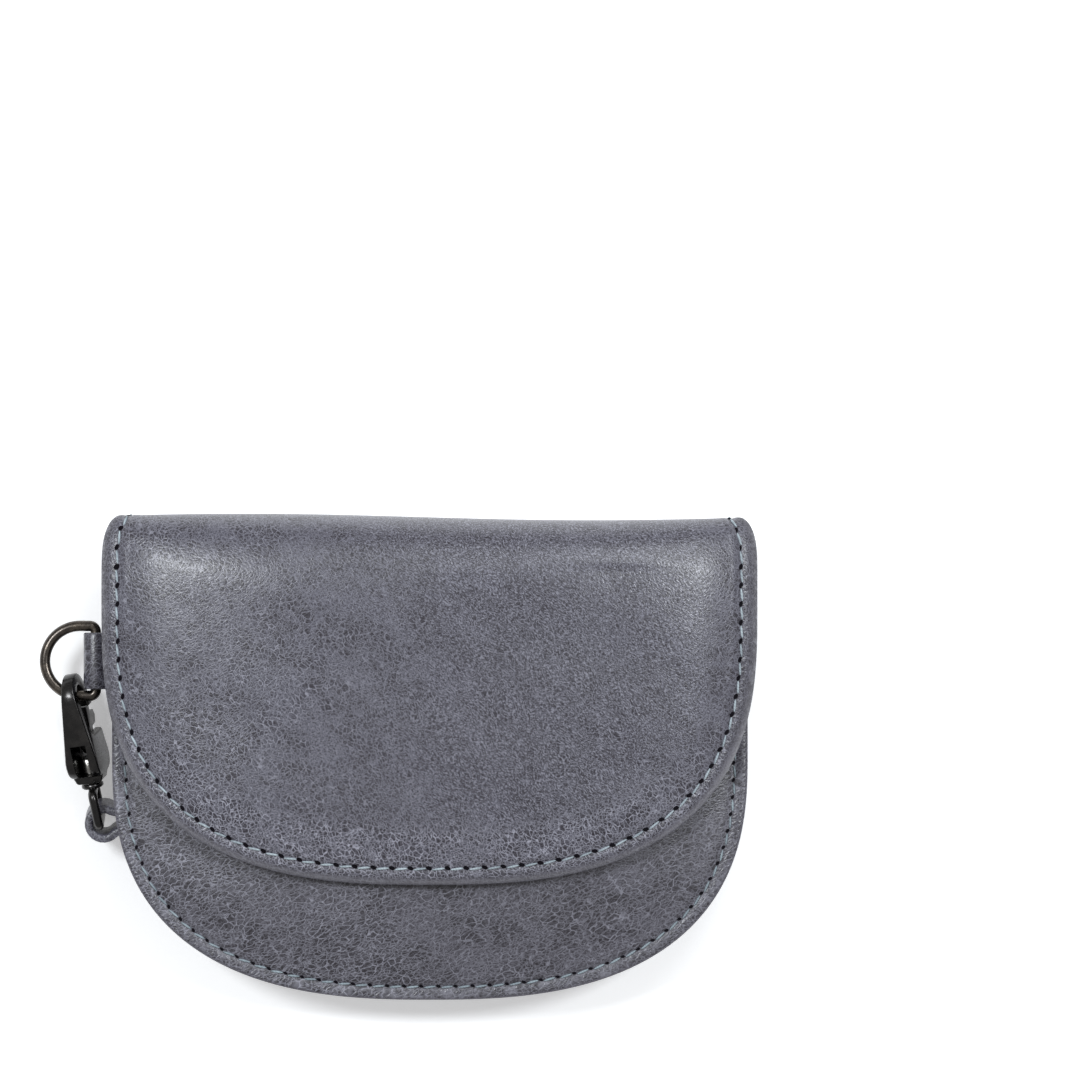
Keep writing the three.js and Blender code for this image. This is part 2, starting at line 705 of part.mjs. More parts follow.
function strapBand(half, steps) {
  const there = half.map(({ along, across }) => new THREE.Vector3(along, across, 0));
  const backAgain = half.map(({ along, across }) => new THREE.Vector3(along, -across, 0)).reverse();
  const loop = [...there, ...backAgain].filter(
    (point, index, all) => point.distanceTo(all[(index + 1) % all.length]) > 1e-6,
  );
  const curve = new THREE.CatmullRomCurve3(loop, true);
  const outer = [];
  const inner = [];
  for (let step = 0; step < steps; step += 1) {
    const point = curve.getPointAt(step / steps);
    const heading = curve.getTangentAt(step / steps);
    const normal = new THREE.Vector2(-heading.y, heading.x).multiplyScalar(strapThickness / 2);
    outer.push(new THREE.Vector2(point.x + normal.x, point.y + normal.y));
    inner.push(new THREE.Vector2(point.x - normal.x, point.y - normal.y));
  }
  const shape = new THREE.Shape(outer.reverse());
  shape.holes.push(new THREE.Path(inner));
  return new THREE.ExtrudeGeometry(shape, { depth: strapWidth, steps: 2, bevelEnabled: false });
}

function strapEye() {
  const outer = smallLoop.inner + strapThickness;
  const opening = Math.PI / 4;
  const shape = new THREE.Shape();
  shape.absarc(smallLoop.centre, 0, outer, opening, 2 * Math.PI - opening, false);
  shape.lineTo(smallLoop.neckStart, -strapThickness);
  shape.lineTo(smallLoop.neckEnd, -strapThickness);
  shape.lineTo(smallLoop.neckEnd, strapThickness);
  shape.lineTo(smallLoop.neckStart, strapThickness);
  shape.closePath();
  const hole = new THREE.Path();
  hole.absarc(smallLoop.centre, 0, smallLoop.inner, opening, 2 * Math.PI - opening, false);
  hole.lineTo(smallLoop.slit, 0);
  hole.closePath();
  shape.holes.push(hole);
  const strip = { depth: strapWidth, steps: 2, bevelEnabled: false, curveSegments: 14 };
  return new THREE.ExtrudeGeometry(shape, strip);
}

function makeStrap({ bar, out }) {
  const band = geometryOf(solidOf(strapBand(wideLoop, 64)).add(solidOf(strapEye())));
  band.rotateZ(strapHeading);
  band.translate(bar.x, bar.y, 0);
  const points = band.getAttribute("position");
  const rise = bar.z - strapWidth / 2;
  for (let index = 0; index < points.count; index += 1) {
    const share = smooth((points.getX(index) - strapRise.from) / (strapRise.to - strapRise.from));
    const fromMiddle = points.getZ(index) - strapWidth / 2;
    points.setX(index, points.getX(index) + (share * fromMiddle * out.x) / out.z);
    points.setY(index, points.getY(index) + (share * fromMiddle * out.y) / out.z);
    points.setZ(index, points.getZ(index) + share * rise);
  }
  addMesh("wrist_strap", band, "leather");
}

makeBackFlap();
makeFoldLining();
makeFlapLining();
makeWindowMesh();
makeFrontPanel();
makePocketPanel();
makeZip();
makeZipSlider();
makeZipPull();
makeSnap();
makeRingTab();
makeRing();
makeStrap(makeHook());

// The origin is under the middle of the whole object
const extent = new THREE.Box3().setFromObject(model, true);
const middle = extent.getCenter(new THREE.Vector3());
model.children.forEach((child) => child.position.sub(new THREE.Vector3(middle.x, middle.y, extent.min.z)));

export default model;
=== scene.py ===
import math
import bpy
import bmesh
import numpy as np
from mathutils import Matrix, Vector


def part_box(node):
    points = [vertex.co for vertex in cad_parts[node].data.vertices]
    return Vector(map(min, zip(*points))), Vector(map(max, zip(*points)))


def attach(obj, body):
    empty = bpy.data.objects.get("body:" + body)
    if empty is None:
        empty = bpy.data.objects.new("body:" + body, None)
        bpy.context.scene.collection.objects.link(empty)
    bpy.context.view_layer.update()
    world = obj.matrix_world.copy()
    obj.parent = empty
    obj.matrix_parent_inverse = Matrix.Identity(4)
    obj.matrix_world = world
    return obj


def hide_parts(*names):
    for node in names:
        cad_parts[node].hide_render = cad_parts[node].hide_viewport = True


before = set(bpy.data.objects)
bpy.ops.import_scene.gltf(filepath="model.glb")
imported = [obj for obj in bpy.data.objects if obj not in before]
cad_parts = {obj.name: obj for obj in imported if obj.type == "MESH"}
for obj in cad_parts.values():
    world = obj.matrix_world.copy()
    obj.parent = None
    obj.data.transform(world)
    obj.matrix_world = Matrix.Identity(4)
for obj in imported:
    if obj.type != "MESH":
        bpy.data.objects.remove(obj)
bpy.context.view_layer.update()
scene = bpy.context.scene
mm = 0.001


# Sizes of the purse in millimetres, the same as in the solids
purse = {"topY": 52.35, "backHeight": 8.3, "leather": 1.4, "lining": 1.2, "net": 0.5, "gap": 0.3,
         "liningGap": 0.5, "foldDepth": 11.5, "cornerIn": 1.5, "cornerDepth": 13.0, "dipMean": 0.75,
         "dipSwing": 0.7, "dipCrest": -40.0, "dipHalfWave": 75.0, "hemThick": 2.9}
bodyCut = {"half": 68.4, "start": 52.0, "drop": 52.7, "power": 2.6}
flapCut = {"half": 70.3, "start": 22.0, "drop": 57.5, "power": 2.7}
swell = {"seamRise": 4.2, "divider": 6.0, "lean": 4.0, "leanDepth": 18.0, "dividerTop": 7.4,
         "frontSeam": 7.7, "frontPuff": 4.8, "puffEdge": 0.95, "puffPower": 4.0, "frontTop": 20.0}
flapRise = {"crest": 23.8, "fall": 4.1, "fallPower": 1.3, "sideFall": 6.5, "sidePower": 3.5,
            "droop": 2.3, "droopFrom": 0.8}
tabDip = {"deep": 3.1, "across": 12.0, "along": 18.0, "middleY": 20.5}
zipRow = {"left": -35.7, "right": 52.0, "depth": 10.2, "low": 3.9, "high": 8.0,
          "turn": 1.35, "turnHigh": 1.0, "turnWide": 1.5, "turnShare": 0.47, "turnLean": 14.0, "turnIn": 0.1}

# The solids stand over the frame's origin, so the purse's own middle is shifted from it
purse["shiftX"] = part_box("back_flap")[1].x / mm - flapCut["half"]
purse["shiftY"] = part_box("zip_tape_back")[1].y / mm - (purse["topY"] - zipRow["depth"])


def easeIn(value):
    t = np.clip(value, 0.0, 1.0)
    return t * t * (3 - 2 * t)


def reachOf(cut, x, depth):
    side = np.abs(x) / cut["half"]
    down = np.maximum(0, depth - cut["start"]) / cut["drop"]
    return (side ** cut["power"] + down ** cut["power"]) ** (1 / cut["power"])


def halfWidth(cut, depth):
    corner = np.maximum(0, 1 - depth / purse["cornerDepth"]) ** 4
    straight = cut["half"] - purse["cornerIn"] * corner
    down = np.clip((depth - cut["start"]) / cut["drop"], 0, 1)
    rounded = cut["half"] * (1 - down ** cut["power"]) ** (1 / cut["power"])
    return np.where(depth <= cut["start"], straight, rounded)


def fromEdge(cut, x, depth):
    # how far inside the cut edge a point lies
    reach = np.maximum(reachOf(cut, x, depth), 1e-6)
    side = np.abs(x) / cut["half"] / reach
    down = np.maximum(0, depth - cut["start"]) / cut["drop"] / reach
    slopeX = side ** (cut["power"] - 1) / cut["half"]
    slopeD = down ** (cut["power"] - 1) / cut["drop"]
    rounded = (1 - reach) / np.maximum(np.hypot(slopeX, slopeD), 1e-6)
    return np.where(depth <= cut["start"], halfWidth(cut, depth) - np.abs(x), rounded)


def puffAt(x, depth):
    return np.maximum(0, 1 - (reachOf(bodyCut, x, depth) / swell["puffEdge"]) ** swell["puffPower"])


def foldDip(x):
    turn = np.pi * (x - purse["dipCrest"]) / purse["dipHalfWave"]
    return purse["dipMean"] - purse["dipSwing"] * np.cos(turn)


def backAt(x, depth):
    away = (depth - (purse["topY"] - tabDip["middleY"])) / tabDip["along"]
    inward = (x + bodyCut["half"]) / tabDip["across"]
    dip = tabDip["deep"] * np.exp(-(away ** 4) - inward ** 4)
    return np.maximum(0, swell["seamRise"] * (1 - puffAt(x, depth)) - dip)


def flapAt(x, depth):
    full = flapCut["start"] + flapCut["drop"] - purse["foldDepth"]
    down = np.maximum(0, depth - purse["foldDepth"]) / full
    side = np.abs(x) / flapCut["half"]
    edge = np.maximum(0, reachOf(flapCut, x, depth) - flapRise["droopFrom"]) / (1 - flapRise["droopFrom"])
    fall = flapRise["fall"] * down ** flapRise["fallPower"]
    sideFall = flapRise["sideFall"] * side ** flapRise["sidePower"]
    return flapRise["crest"] - fall - sideFall - flapRise["droop"] * edge ** 2


def dividerAt(x, depth):
    lean = easeIn((swell["leanDepth"] - depth) / (swell["leanDepth"] - swell["dividerTop"]))
    return swell["divider"] + swell["lean"] * lean * np.maximum(0, 1 - (np.abs(x) / bodyCut["half"]) ** 6)


def frontAt(x, depth):
    return swell["frontSeam"] + swell["frontPuff"] * puffAt(x, depth)


def foldPoint(x, angle, inwards):
    low = backAt(x, purse["foldDepth"])
    half = (flapAt(x, purse["foldDepth"]) - low) / 2
    reach = purse["foldDepth"] - foldDip(x)
    normalY, normalZ = np.cos(angle) / reach, np.sin(angle) / half
    size = np.hypot(normalY, normalZ)
    y = purse["topY"] - purse["foldDepth"] + reach * np.cos(angle) - normalY / size * inwards
    z = low + half + half * np.sin(angle) - normalZ / size * inwards
    return y, z


def toFrame(x, y, z):
    # purse millimetres to metres in the frame
    point = np.stack(np.broadcast_arrays(x, y, z), -1).astype(float)
    return (point + np.array([purse["shiftX"], purse["shiftY"], 0.0])) * mm


def place(x, depth, height):
    return toFrame(x, purse["topY"] - depth, purse["backHeight"] + height)


def bell(value, wide):
    return np.exp(-((value / wide) ** 2))


# Slow waves of a slightly slack skin: each has a height and two ripples, given by their lengths and start
dents = [
    {"high": 0.22, "one": (11.3, 19.0, 1), "two": (-31.0, 13.7, 2)},
    {"high": 0.13, "one": (5.9, -8.3, 3), "two": (17.0, 6.1, 1)},
]


def ripple(x, depth, seed, across, down, start):
    return np.sin(x / across + depth / down + start * seed)


def softDents(x, depth, seed):
    return sum(wave["high"] * ripple(x, depth, seed, *wave["one"]) * ripple(x, depth, seed, *wave["two"])
               for wave in dents)


# Mesh helpers
def pieceFrom(bm, name, smoothAngle=None):
    mesh = bpy.data.meshes.new(name)
    bm.to_mesh(mesh)
    bm.free()
    obj = bpy.data.objects.new(name, mesh)
    scene.collection.objects.link(obj)
    mesh.polygons.foreach_set("use_smooth", [True] * len(mesh.polygons))
    if smoothAngle:
        mesh.set_sharp_from_angle(angle=math.radians(smoothAngle))
    return obj


def gridMesh(columns, rows, pointAt):
    # a sheet of columns by rows, each point put where pointAt(column, row) says
    bm = bmesh.new()
    bmesh.ops.create_grid(bm, x_segments=columns - 1, y_segments=rows - 1, size=1.0)
    bm.verts.ensure_lookup_table()
    flat = np.array([v.co[:2] for v in bm.verts])
    column = np.rint((flat[:, 0] + 1) / 2 * (columns - 1)).astype(int)
    row = np.rint((flat[:, 1] + 1) / 2 * (rows - 1)).astype(int)
    for vert, point in zip(bm.verts, pointAt(column, row)):
        vert.co = point
    return bm, column, row


def gridPiece(name, columns, rows, pointAt, flip=False, around=False, marks=None):
    # marks are values at each point for the material
    bm, column, row = gridMesh(columns, rows, pointAt)
    if around:
        bmesh.ops.remove_doubles(bm, verts=bm.verts, dist=1e-6)
    if flip:
        bmesh.ops.reverse_faces(bm, faces=bm.faces)
    obj = pieceFrom(bm, name)
    for mark, valueAt in (marks or {}).items():
        layer = obj.data.attributes.new(mark, "FLOAT", "POINT")
        layer.data.foreach_set("value", np.asarray(valueAt(column, row), np.float32))
    return obj


def tubePiece(name, sides, rows, pointAt, closed=True, smoothAngle=50):
    # a sheet rolled into a tube, which runs into its own start or gets end caps
    bm, _, _ = gridMesh(sides + 1, rows, pointAt)
    bmesh.ops.remove_doubles(bm, verts=bm.verts, dist=1e-7)
    if not closed:
        ends = [e for e in bm.edges if e.is_boundary]
        bmesh.ops.holes_fill(bm, edges=ends, sides=0)
    bmesh.ops.recalc_face_normals(bm, faces=bm.faces)
    return pieceFrom(bm, name, smoothAngle)


def thicken(obj, thick, rim, weights=None, rimSegments=2):
    wall = obj.modifiers.new("wall", "SOLIDIFY")
    wall.thickness = thick * mm
    wall.offset = -1
    wall.use_quality_normals = True
    if weights is not None:
        group = obj.vertex_groups.new(name="hem")
        for index, value in enumerate(weights):
            group.add([index], float(value), "REPLACE")
        wall.vertex_group = "hem"
    edge = obj.modifiers.new("rim", "BEVEL")
    edge.width = rim * mm
    edge.segments = rimSegments
    edge.limit_method = "ANGLE"
    edge.angle_limit = math.radians(50)


def unit(rows):
    return rows / np.linalg.norm(rows, axis=1)[:, None]


def loopTangents(path):
    return unit(np.roll(path, -1, 0) - np.roll(path, 1, 0))


def sweepPiece(name, path, across, up, profile, closed=True):
    # the profile's outline carried along a path; across and up are its two directions
    steps, sides = len(path), len(profile)

    def pointAt(column, row):
        r, c = row % steps, column % sides
        return path[r] + across[r] * profile[c, :1] + up[r] * profile[c, 1:]

    return tubePiece(name, sides, steps + 1 if closed else steps, pointAt, closed)


def wireLoop(name, path, flat, wire, sides):
    # a closed loop of round wire; flat is the direction square to its plane
    up = np.tile(flat, (len(path), 1))
    return sweepPiece(name, path, np.cross(loopTangents(path), up), up, roundWire(wire / 2 * mm, sides))


def roundWire(radius, sides):
    turn = np.linspace(0, 2 * np.pi, sides, endpoint=False)
    return np.stack([radius * np.cos(turn), radius * np.sin(turn)], -1)


def roundedBox(wide, high, corner, perCorner):
    points = []
    for quarter, (sx, sy) in enumerate([(1, 1), (-1, 1), (-1, -1), (1, -1)]):
        for step in range(perCorner):
            a = math.pi / 2 * (quarter + step / (perCorner - 1))
            points.append((sx * (wide / 2 - corner) + corner * math.cos(a),
                           sy * (high / 2 - corner) + corner * math.sin(a)))
    return np.array(points)


def runOf(points):
    # the distance along a line at each of its points
    return np.concatenate([[0], np.cumsum(np.linalg.norm(np.diff(points, axis=0), axis=1))])


def resample(points, count, closed=False):
    points = np.asarray(points, float)
    if closed:
        points = np.vstack([points, points[:1]])
    run = runOf(points)
    at = np.linspace(0, run[-1], count, endpoint=not closed)
    return np.stack([np.interp(at, run, points[:, k]) for k in range(points.shape[1])], -1)


def smoothLine(points, perSpan):
    # a closed curve through the points, knotted by the root of their distance
    points = np.asarray(points, float)
    count = len(points)
    made = []

    def between(a, b, start, end, t):
        return ((end - t) * a + (t - start) * b) / (end - start)

    for index in range(count):
        four = [points[(index + k) % count] for k in (-1, 0, 1, 2)]
        gaps = [np.linalg.norm(b - a) ** 0.5 for a, b in zip(four, four[1:])]
        knots = np.concatenate([[0], np.cumsum(gaps)])
        for t in np.linspace(knots[1], knots[2], perSpan, endpoint=False):
            three = [between(four[k], four[k + 1], knots[k], knots[k + 1], t) for k in range(3)]
            two = [between(three[k], three[k + 1], knots[k], knots[k + 2], t) for k in range(2)]
            made.append(between(two[0], two[1], knots[1], knots[2], t))
    return np.array(made)


def solidCopy(nodeName, name, width, segments=2):
    # the solid's own shape with its edges rounded
    flatTurn, sharpTurn = math.radians(1.5), math.radians(32)
    bm = bmesh.new()
    bm.from_mesh(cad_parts[nodeName].data)
    bmesh.ops.remove_doubles(bm, verts=bm.verts, dist=2e-6)
    bmesh.ops.dissolve_limit(bm, angle_limit=flatTurn, verts=bm.verts, edges=bm.edges)
    edges = [e for e in bm.edges if e.is_manifold and e.calc_face_angle(0) > sharpTurn]
    bmesh.ops.bevel(bm, geom=edges, offset=width * mm, offset_type="OFFSET", segments=segments, profile=0.5,
                    affect="EDGES", clamp_overlap=True, material=-1)
    return pieceFrom(bm, name, 40)


def turnedPiece(name, points, middle, axis, steps):
    # a line of points spun round an axis
    bm = bmesh.new()
    verts = [bm.verts.new(Vector(point)) for point in points]
    edges = [bm.edges.new(pair) for pair in zip(verts, verts[1:])]
    bmesh.ops.spin(bm, geom=verts + edges, cent=Vector(middle), axis=axis, angle=2 * math.pi, steps=steps,
                   use_merge=True)
    bmesh.ops.remove_doubles(bm, verts=bm.verts, dist=1e-6)
    bmesh.ops.recalc_face_normals(bm, faces=bm.faces)
    return pieceFrom(bm, name, 45)


def dress(obj, material, slot, *nodes, body="purse"):
    obj.data.materials.append(material)
    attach(obj, body)
    if nodes:
        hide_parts(*nodes)


# Materials
def srgb(*tones):
    shares = [tone / 255 for tone in tones]
    return tuple(s / 12.92 if s <= 0.04 else ((s + 0.055) / 1.055) ** 2.4 for s in shares) + (1.0,)


def scaled(colour, share):
    return tuple(c * share for c in colour[:3]) + (1.0,)


class NodeBench:
    def __init__(self, name):
        self.material = bpy.data.materials.new(name)
        self.material.use_nodes = True
        self.tree = self.material.node_tree
        self.shader = self.tree.nodes["Principled BSDF"]
        self.coord = self.tree.nodes.new("ShaderNodeTexCoord").outputs["Object"]

    def feed(self, socket, value):
        # a link where the value is another node's output, else a constant
        if hasattr(value, "is_output"):
            self.tree.links.new(value, socket)
        else:
            socket.default_value = value

    def give(self, key, value):
        self.feed(self.shader.inputs[key], value)

    def add(self, kind, values=None, **settings):
        node = self.tree.nodes.new("ShaderNode" + kind)
        for key, value in settings.items():
            setattr(node, key, value)
        for key, value in (values or {}).items():
            self.feed(node.inputs[key], value)
        return node

    def noise(self, scale, detail=3.0, rough=0.55, vector=None):
        values = {"Vector": vector or self.coord, "Scale": scale, "Detail": detail, "Roughness": rough}
        return self.add("TexNoise", values).outputs[0]

    def wave(self, scale, bend, run):
        values = {"Vector": self.coord, "Scale": scale, "Distortion": bend}
        return self.add("TexWave", values, bands_direction=run).outputs["Fac"]

    def range(self, value, low, high, toLow=0.0, toHigh=1.0):
        values = {"Value": value, "From Min": low, "From Max": high, "To Min": toLow, "To Max": toHigh}
        return self.add("MapRange", values, interpolation_type="SMOOTHSTEP").outputs["Result"]

    def math(self, kind, a, b):
        return self.add("Math", {0: a, 1: b}, operation=kind).outputs[0]

    def times(self, a, b):
        return self.math("MULTIPLY", a, b)

    def plus(self, a, b):
        return self.math("ADD", a, b)

    def most(self, a, b):
        return self.math("MAXIMUM", a, b)

    def vector(self, kind, values):
        return self.add("VectorMath", values, operation=kind).outputs[0]

    def mix(self, factor, a, b):
        node = self.add("Mix", data_type="RGBA")
        for key, value in (("Factor_Float", factor), ("A_Color", a), ("B_Color", b)):
            self.feed(next(s for s in node.inputs if s.identifier == key), value)
        return next(s for s in node.outputs if s.identifier == "Result_Color")

    def bump(self, strength, distance, height):
        values = {"Strength": strength, "Distance": distance, "Height": height}
        self.give("Normal", self.add("Bump", values).outputs[0])


leatherLook = {
    "pale": (152, 152, 164),
    "edge": (104, 102, 111),
    "rim": 0.42,        # edge mark above which the turned edge is smooth, and paler as a painted highlight on its rolled rim
    "hem": 0.215,       # edge mark above which it is crinkled
    "seam": 0.09,       # edge mark above which the grain is coarse again
    "bends": ((110.0, 0.0036), (850.0, 0.0007)),     # long bends and small kinks of the grain
    "broad": 17.0,
    "cluster": 330.0,
    "broken": 380.0,
    "sideBlotch": 700.0,
    "grit": 1700.0,
    "specular": 0.7,
    "bump": 0.5,
    "bumpSize": 0.00007,
}
# each grain: cells per metre, the turn of its run in radians, and how far it is drawn out
flapGrain = {
    "base": (77, 76, 87), "dark": (31, 26, 36), "patch": (150.0, -0.85, 1.9), "wide": (1150.0, -0.95, 1.6),
    "narrow": (1750.0, 0.4, 1.5), "speck": (4300.0, -0.7, 2.3),
    "lines": 1.1, "fleckGlint": 0.12, "low": 1.0, "even": False,
}
frontGrain = {
    "base": (71, 69, 77), "dark": (34, 30, 37), "patch": (110.0, 0.5, 1.6), "wide": (930.0, 0.5, 2.1),
    "narrow": (1600.0, 0.25, 1.8), "speck": (3900.0, 0.4, 1.9),
    "lines": 1.25, "fleckGlint": 0.34, "low": 0.0, "even": True,
}


def crookedCoord(bench):
    # the grain wanders
    where = bench.coord
    for scale, far in leatherLook["bends"]:
        values = {"Vector": bench.coord, "Scale": scale, "Detail": 2.0, "Roughness": 0.55}
        push = bench.add("TexNoise", values).outputs["Color"]
        push = bench.vector("SUBTRACT", {0: push, 1: (0.5, 0.5, 0.5)})
        where = bench.vector("ADD", {0: where, 1: bench.vector("SCALE", {0: push, "Scale": far})})
    return where


def drawnOut(bench, where, turn, far):
    values = {"Vector": where, "Rotation": (0, 0, turn), "Scale": (far, 1, 1)}
    return bench.add("Mapping", values, vector_type="TEXTURE").outputs[0]


def cellNet(bench, where, run):
    values = {"Vector": drawnOut(bench, where, *run[1:]), "Scale": run[0]}
    return bench.add("TexVoronoi", values, feature="DISTANCE_TO_EDGE").outputs["Distance"]


def makeLeather(name, grain):
    look, bench = leatherLook, NodeBench(name)
    times, plus, most, span = bench.times, bench.plus, bench.most, bench.range
    where = crookedCoord(bench)
    wide, narrow = (cellNet(bench, where, grain[key]) for key in ("wide", "narrow"))
    speck = bench.noise(grain["speck"][0], 1.0, 0.6, drawnOut(bench, where, *grain["speck"][1:]))
    patch = bench.noise(grain["patch"][0], 4.0, 0.62, drawnOut(bench, where, *grain["patch"][1:]))
    cluster = bench.noise(look["cluster"], 2.0, 0.5)
    broad = bench.noise(look["broad"], 4.0, 0.6)
    broken = bench.noise(look["broken"], 3.0, 0.6)
    grains, sideBlotch = (bench.noise(look[key], 1.0) for key in ("grit", "sideBlotch"))
    edge, creaseShade = (bench.add("Attribute", attribute_name=key).outputs["Fac"] for key in ("edge", "creaseShade"))
    split = bench.add("SeparateXYZ", {0: bench.coord}).outputs
    dark, tone = srgb(*grain["dark"]), srgb(*grain["base"])
    # smooth at the lower rim, with a painted highlight there; crinkled up the sides
    rim = times(span(edge, look["rim"] - 0.04, look["rim"] + 0.03), span(split["Y"], 0.0, 0.02, 1.0, 0.35))
    hem = bench.math("SUBTRACT", span(edge, look["hem"] - 0.015, look["hem"] + 0.03), rim)
    hem = most(hem, 0.0)
    plain = bench.math("SUBTRACT", 1.0, times(rim, 0.6))
    # coarse towards the ring and along the seams, fine elsewhere
    coarse = span(plus(split["X"], times(broad, 0.06)), -0.02, 0.075, 1.0, 0.0)
    coarse = most(coarse, span(edge, look["seam"] - 0.03, look["seam"] + 0.02, 0.0, 0.6))
    low = times(span(edge, look["seam"] - 0.03, look["seam"]), span(split["Y"], -0.012, 0.01, 1.0, 0.0))
    coarse = most(coarse, 1.0 if grain["even"] else low)
    # soft dark patches, darkest inside the cells
    inCell = span(wide, 0.02, 0.16, 0.1, 1.0)
    # painted shade: the fold's wrinkled band gets darker cells, joined by the dark cells near the low seam
    creaseShadeAndLowCells = times(creaseShade, span(patch, 0.2, 0.5))
    creaseShadeAndLowCells = most(creaseShadeAndLowCells, times(low, span(cluster, 0.4, 0.52, 0.1, grain["low"])))
    shade = times(span(patch, 0.4, 0.53), span(cluster, 0.37, 0.51, 0.2, 1.0))
    shade = times(shade, span(coarse, 0.0, 1.0, 0.75, 1.0))
    shade = times(times(most(shade, creaseShadeAndLowCells), inCell), plain)
    grit = times(hem, span(grains, 0.5, 0.58, 0.0, 0.9))
    # pale flecks on the turned edge, partly mottling and partly painted glints on its crinkles
    paleFleckGlint = times(hem, span(broken, 0.46, 0.66, 0.0, grain["fleckGlint"]))
    # broken pale lines
    wideLine = times(span(wide, 0.0, 0.085, 1.0, 0.0), span(broken, 0.4, 0.6, 0.12, 0.9))
    narrowLine = times(span(narrow, 0.0, 0.12, 1.0, 0.0), span(broken, 0.4, 0.6, 0.75, 0.14))
    strength = times(span(broad, 0.3, 0.7, 0.8, 0.4), span(coarse, 0.0, 1.0, 0.5, grain["lines"]))
    strength = plus(strength, times(low, 0.5 * grain["low"]))
    line = times(most(wideLine, narrowLine), strength)
    glint = times(span(speck, 0.48, 0.68), span(coarse, 0.0, 1.0, 0.55, 0.15))
    line = most(times(most(line, glint), plain), paleFleckGlint)
    pit = times(span(speck, 0.34, 0.58, 1.0, 0.0), span(coarse, 0.0, 1.0, 1.0, 0.75))
    ground = bench.mix(span(broad, 0.3, 0.7), scaled(tone, 0.88), scaled(tone, 1.14))
    ground = bench.mix(pit, ground, dark)
    # painted highlight: the rolled rim is mixed towards the paler edge tone
    ground = bench.mix(times(rim, 0.5), ground, srgb(*look["edge"]))
    ground = bench.mix(most(shade, grit), ground, dark)
    # darker and duller, in broken patches, where the turned edge runs up the sides
    side = times(span(edge, 0.26, 0.4), span(split["Y"], -0.005, 0.02, 0.0, 0.7))
    side = times(side, span(sideBlotch, 0.45, 0.62, 1.0, 0.15))
    ground = bench.mix(side, ground, dark)
    bench.give("Base Color", bench.mix(line, ground, srgb(*look["pale"])))
    bench.give("Roughness", plus(span(speck, 0.3, 0.7, 0.38, 0.3), times(side, 0.35)))
    bench.give("Specular IOR Level", look["specular"])
    # the cells stand up as pebbles, more so in the fold and in the turned edge
    stand = plus(most(creaseShade, hem), 0.35)
    height = plus(times(span(wide, 0.0, 0.28), stand), times(span(narrow, 0.0, 0.25), 0.4))
    height = times(plus(height, times(speck, 0.35)), plain)
    bench.bump(look["bump"], look["bumpSize"], height)
    return bench.material


threadLook = {"hole": (10, 9, 12), "holeFibre": (30, 28, 33), "soil": (104, 114, 122), "ply": 900.0,
              "cloud": 160.0, "fibre": 1800.0}
metalLook = {"cloud": 260.0, "scratch": 2400.0, "bump": 0.18, "bumpSize": 0.00006}


def makeThread(name, pale):
    bench = NodeBench(name)
    ply = bench.wave(threadLook["ply"], 1.5, "DIAGONAL")
    cloud = bench.range(bench.noise(threadLook["cloud"]), 0.3, 0.7, 0.0, 0.6)
    soil = srgb(*threadLook["soil"])
    tone = bench.mix(cloud, srgb(*pale), soil)
    bench.give("Base Color", bench.mix(bench.times(ply, 0.3), tone, soil))
    bench.give("Roughness", 0.62)
    bench.bump(0.5, 0.0001, ply)
    return bench.material


# near-black discs laid at the needle holes: painted shade in the holes
def makeNeedleHoleShade():
    bench = NodeBench("needleHoleShade")
    fibre = bench.noise(threadLook["fibre"])
    bench.give("Base Color", bench.mix(fibre, srgb(*threadLook["hole"]), srgb(*threadLook["holeFibre"])))
    bench.give("Roughness", 0.9)
    bench.give("Specular IOR Level", 0.0)
    return bench.material


def makeMetal(name, base, worn, rough, metallic=1.0):
    bench = NodeBench(name)
    rub = bench.range(bench.noise(metalLook["cloud"], 5.0, 0.62), 0.45, 0.72)
    scratch = bench.noise(metalLook["scratch"], 3.0, 0.7)
    bench.give("Base Color", bench.mix(rub, srgb(*base), srgb(*worn)))
    bench.give("Metallic", metallic)
    bench.give("Roughness", bench.range(scratch, 0.3, 0.7, rough * 0.8, rough * 1.3))
    bench.bump(metalLook["bump"], metalLook["bumpSize"], scratch)
    return bench.material


def makeWeave(name, base, dark, pitch, bumpSize):
    bench = NodeBench(name)
    cross = bench.times(bench.wave(pitch, 0.3, "X"), bench.wave(pitch, 0.3, "Y"))
    bench.give("Base Color", bench.mix(cross, srgb(*dark), srgb(*base)))
    bench.give("Roughness", 0.85)
    bench.bump(0.6, bumpSize, cross)
    return bench.material


leather = makeLeather("greyLeather", flapGrain)
leatherFront = makeLeather("greyLeatherFront", frontGrain)
thread = makeThread("paleThread", (176, 188, 195))
threadFront = makeThread("dullThread", (148, 161, 168))
needleHoleShade = makeNeedleHoleShade()
bronze = makeMetal("darkBronze", (78, 73, 69), (112, 104, 95), 0.27)
gunmetal = makeMetal("gunmetal", (60, 59, 59), (74, 72, 71), 0.24)
# a lighter copy of the gunmetal for the post's head, a painted sheen standing in for its reflection
postSheenMetal = makeMetal("postSheenGunmetal", (150, 148, 144), (186, 184, 180), 0.24)
pewter = makeMetal("oldPewter", (104, 98, 90), (168, 160, 148), 0.34)
tapeCloth = makeWeave("zipTape", (62, 70, 84), (34, 39, 48), 700.0, 0.00012)
netCloth = makeWeave("blackNet", (58, 63, 72), (14, 16, 20), 560.0, 0.0002)
coilPlastic = makeMetal("zipCoil", (48, 54, 64), (70, 76, 88), 0.4, metallic=0.0)
print("materials made")


# Sewing
sewing = {"pitch": 3.95, "share": 0.73, "wide": 0.54, "high": 0.5, "lift": 0.1, "slant": 0.13, "feel": 0.3,
          "holeLong": 1.35, "holeWide": 0.9, "holeSlant": -0.45, "holeLift": 0.16, "holeAside": 0.22}


